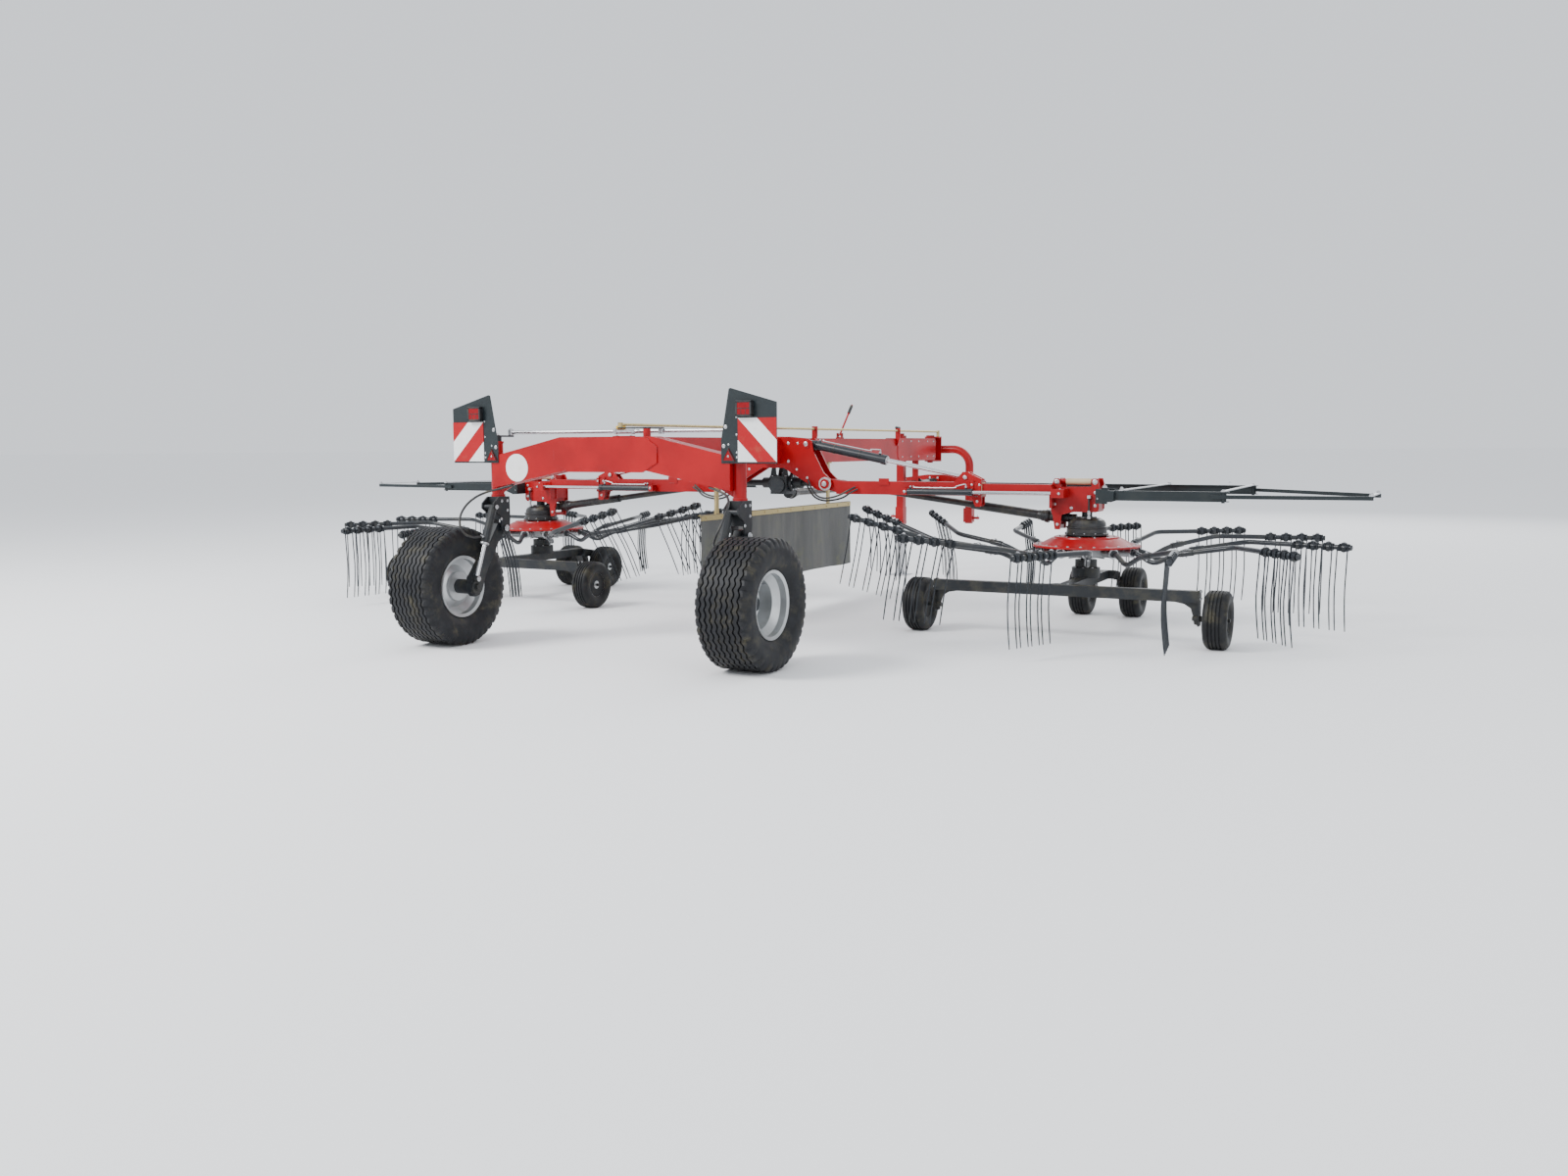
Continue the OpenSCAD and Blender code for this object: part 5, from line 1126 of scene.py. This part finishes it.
def beam_hose_fittings(shape):
    """Sleeves and couplings at the end blocks, and the clips' bolts."""
    sleeve = ((9.5, -1), (9.5, 26), (8.4, 28), (8.4, 44))
    coupling = ((10, -1), (10, 12), (7, 13), (7, 24), (9, 25), (9, 36))
    for drop in HOSE_DROPS:
        shape.lathe((HOSE_X, FRONT_BLOCK[0], 1436 - drop), BEHIND, sleeve, 12)
        shape.lathe((HOSE_X, FRONT_BLOCK[1], 1436 - drop), AHEAD, coupling, 6)
        shape.lathe((HOSE_X, REAR_BLOCK[1], 1432 - drop), AHEAD, sleeve, 12)
    shape.bolts([(-115, y, 1412) for y in HOSE_CLIPS], LEFT, 5.5)


# Headstock, drive input and jack

def headstock_bolts(shape):
    """Bolts of the headstock's plates, the link pins' clips and the swivel's lid."""
    for s in (-1, 1):
        for z in (964, 1056):
            shape.bolt_pair((s * 46, BOW_Y, z), 34, AHEAD, 9)
        for z in (985, 1035):
            shape.bolt_pair((s * 350, BOW_Y, z), 10, AHEAD, 8)
        pin = Vector((s * 508, BOW_Y, 610))
        shape.lathe(pin, UP, ((3.5, -24), (3.5, 24)), 8)
        shape.loop(pin + Vector((0, 12, 22)), (1, 0.4, 0), 17, 2.2, 16)
    shape.bolts(circle((0, SWIVEL_Y, 1528.3), UP, 36, 6, 0.5), UP, 6)


def splined_input(shape):
    """Input shaft with six splines in its guard ring."""
    outline = []
    for k in range(6):
        for degrees, r in ((-14, 17.4), (14, 17.4), (19, 14.6), (41, 14.6)):
            a = radians(60 * k + degrees)
            outline.append((r * cos(a), DRIVE_Z + r * sin(a)))
    shape.prism(outline, NOSE_Y, NOSE_Y - 96)
    shape.lathe((0, SWIVEL_Y + 47, DRIVE_Z), AHEAD, ((17.4, 0), (17.4, 70), (17.4, 72)))


def input_guard(shape):
    profile = ((30, 0), (41.9, 0.5), (41.9, 188), (39, 190), (20, 190))
    shape.lathe((0, BOW_Y - 40, DRIVE_Z), AHEAD, profile, 40)


def jack_grip(shape):
    profile = ((12, -4), (15, -2), (15.5, 40), (14, 84), (11, 86))
    shape.lathe((JACK_X, JACK_Y - 150, 1610), AHEAD, profile, 18)


def jack_bolts(shape):
    """Bolts of the jack's brackets and lid, its side bolt and the leg's locking pin."""
    shape.bolts([(-100, JACK_Y + y, z) for z in (1308, 1458) for y in (-45, 45)], UP, 8)
    shape.bolts(circle((JACK_X, JACK_Y, 1548), UP, 22, 4, 0.78), UP, 5)
    shape.bolt((JACK_X, JACK_Y - 68, 1496), BEHIND, 9)
    pin = ((10, 0), (10, 10), (14, 11), (14, 18), (9, 20))
    shape.lathe((JACK_X, JACK_Y - 46, 582), BEHIND, pin, 14)


# Studio

def studio():
    """A pale floor, an even sky and three soft lights."""
    mesh = bpy.data.meshes.new("floor")
    corners = [(x * FLOOR_HALF, y * FLOOR_HALF, 0) for x, y in ((-1, -1), (1, -1), (1, 1), (-1, 1))]
    mesh.from_pydata(corners, [], [(0, 1, 2, 3)])
    floor = add_object("floor", mesh)
    n = Nodes("floor")
    n.colour(n.mix(n.noise(0.6, 3), (0.95, 0.955, 0.96), (0.97, 0.972, 0.975)))
    n.set("Roughness", 0.9)
    mesh.materials.append(n.mat)
    world = bpy.data.worlds.new("studio")
    world.use_nodes = True
    sky = world.node_tree.nodes["Background"]
    sky.inputs["Color"].default_value = (0.9, 0.94, 1.0, 1)
    sky.inputs["Strength"].default_value = 1.15
    bpy.context.scene.world = world
    aim = Vector((0, 0, 0.6))
    for name, place, size, power in LIGHTS:
        lamp = bpy.data.lights.new(name, "AREA")
        lamp.energy = power
        lamp.size = size
        made = add_object(name, lamp)
        made.location = place
        made.rotation_euler = (aim - Vector(place)).to_track_quat("-Z", "Y").to_euler()


def camera():
    """The photograph's camera."""
    forward = Vector((-sin(CAM_YAW) * cos(CAM_PITCH), cos(CAM_YAW) * cos(CAM_PITCH), sin(CAM_PITCH)))
    right = Vector((cos(CAM_YAW), sin(CAM_YAW), 0))
    up = right.cross(forward)
    rolled_right = cos(CAM_ROLL) * right + sin(CAM_ROLL) * up
    rolled_up = cos(CAM_ROLL) * up - sin(CAM_ROLL) * right
    data = bpy.data.cameras.new("camera")
    data.sensor_fit = "HORIZONTAL"
    data.sensor_width = SENSOR
    data.lens = FOCAL_PX * SENSOR / IMAGE_W
    data.clip_end = 900
    made = add_object("camera", data)
    turn = Matrix((rolled_right, rolled_up, -forward)).transposed()
    made.matrix_world = Matrix.Translation(CAM_POS) @ turn.to_4x4()
    bpy.context.scene.camera = made


# Hose routes, as given points in millimetres

BEAM_HOSE = ((-99, 2606, 1436), (-98, 2400, 1438), (-97, 2100, 1434), (-97, 1792, 1432), (-97, 1400, 1426),
             (-97, 1092, 1432), (-97, 700, 1425), (-97, 392, 1432), (-98, 0, 1430), (-99, -240, 1432))
LEG_HOSE = ((820, -2965, 1148), (880, -2977, 1133), (940, -3002, 1116), (1000, -3046, 1096),
            (1048, -3105, 1062), (1074, -3175, 1008), (1076, -3236, 938), (1054, -3268, 866),
            (1026, -3258, 812), (1002, -3215, 786), (989, -3168, 782), (984, -3124, 785))
HEAD_HOSE = ((2700, -457, 905), (2701, -460, 930), (2702, -463, 958), (2701, -461, 984), (2700, -457, 1006))
BOOM_HOSES = (
    ((330, -560, 1105), (370, -572, 1040), (430, -584, 985), (510, -590, 962), (600, -588, 968),
     (680, -575, 990), (740, -560, 1030), (800, -545, 1060)),
    ((350, -560, 1130), (395, -592, 1060), (450, -606, 1005), (515, -612, 984), (590, -610, 990),
     (660, -596, 1012), (720, -575, 1045), (780, -548, 1078)),
)


# The pieces

def rear_chassis():
    both(chassis_tyre, "wheel", "tyre", smooth_deg=28, replaces=("tyre",))
    both(wheel_nuts, "wheel")
    both(hub_cap, "wheel", "dark")
    both(leg_rod, "leg", "rod")
    both(leg_bolts, "leg")
    both(marker_bolts, "frame")
    both(lamp_bezels, "frame", "black")
    single(track_joint, "track_rod")
    single(track_block, "track_rod", "yellow_zinc", look="yellow")
    crossing = ("frame", "leg", (KINGPIN_X, KINGPIN_Y, 1130), (KINGPIN_X, KINGPIN_Y, 980))
    side_hoses("leg_hose", "leg", LEG_HOSE, crossing)


def main_frame():
    single(lever_grip, "frame", "black")
    single(beam_bolts, "frame")
    single(gearbox_bolts, "frame")
    single(curtain_bolts, "frame")
    single(curtain_strip, "frame", "yellow_zinc")
    sheet = single(curtain_sheet, "frame", "cloth", replaces=("swath_curtain",), smooth_deg=60)
    single(beam_hose_clips, "frame", "black", replaces=("beam_hoses",))
    single(beam_hose_fittings, "frame")
    for k, drop in enumerate(HOSE_DROPS):
        hose(f"beam_hose_{k + 1}", "frame", [(x, y, z - drop) for x, y, z in BEAM_HOSE])
    both(carrier_bolts, "frame")
    both(hinge_ring, "frame")


def booms():
    both(lift_fittings, "lift_barrel")
    both(lift_bands, "lift_barrel", "black")
    both(width_fittings, "boom")
    both(boom_bolts, "boom")
    both(slide_pads, "boom", "black", look="nylon")
    both(shaft_cone, "shaft_inner", "black")
    both(outer_cone, "shaft_outer", "black")
    crossing = ("frame", "boom", (430, BOOM_Y, 1000), (620, BOOM_Y, 1000))
    for k, run in enumerate(BOOM_HOSES):
        side_hoses(f"boom_hose_{k + 1}", "boom", run, crossing)


def rotors():
    both(arm_tubes, "rotor", "arm", replaces=("tine_arms",))
    both(tines, "rotor", "arm", look="tine")
    both(arm_bolts, "rotor")
    both(socket_rings, "rotor")
    both(disc_bolts, "rotor")


def heads():
    both(bell_ribs, "head", "black")
    both(bell_bolts, "head")
    both(head_roller, "head", "yellow_zinc", look="nylon")
    both(head_bolts, "head")
    both(carriage_bolts, "head")
    both(guard_bolts, "head")
    both(guard_caps, "head", "black")
    side_hoses("head_hose", "head", HEAD_HOSE)


def small_wheels():
    for key, middles in SMALL_WHEELS.items():
        both(at_all(small_tyre, middles), key, "small", f"{key}_tyre", replaces=(key,))
        both(at_all(small_rim, middles), key, "rim", f"{key}_rim")
        both(at_all(small_nuts, middles), key, "zinc", f"{key}_nuts")


def front_end():
    single(headstock_bolts, "headstock")
    single(splined_input, "headstock", replaces=("drive_input",))
    single(input_guard, "headstock", "black")
    single(jack_grip, "frame", "black")
    single(jack_bolts, "frame")


camera()
studio()
dress_cad_nodes()
rear_chassis()
main_frame()
booms()
rotors()
heads()
small_wheels()
front_end()
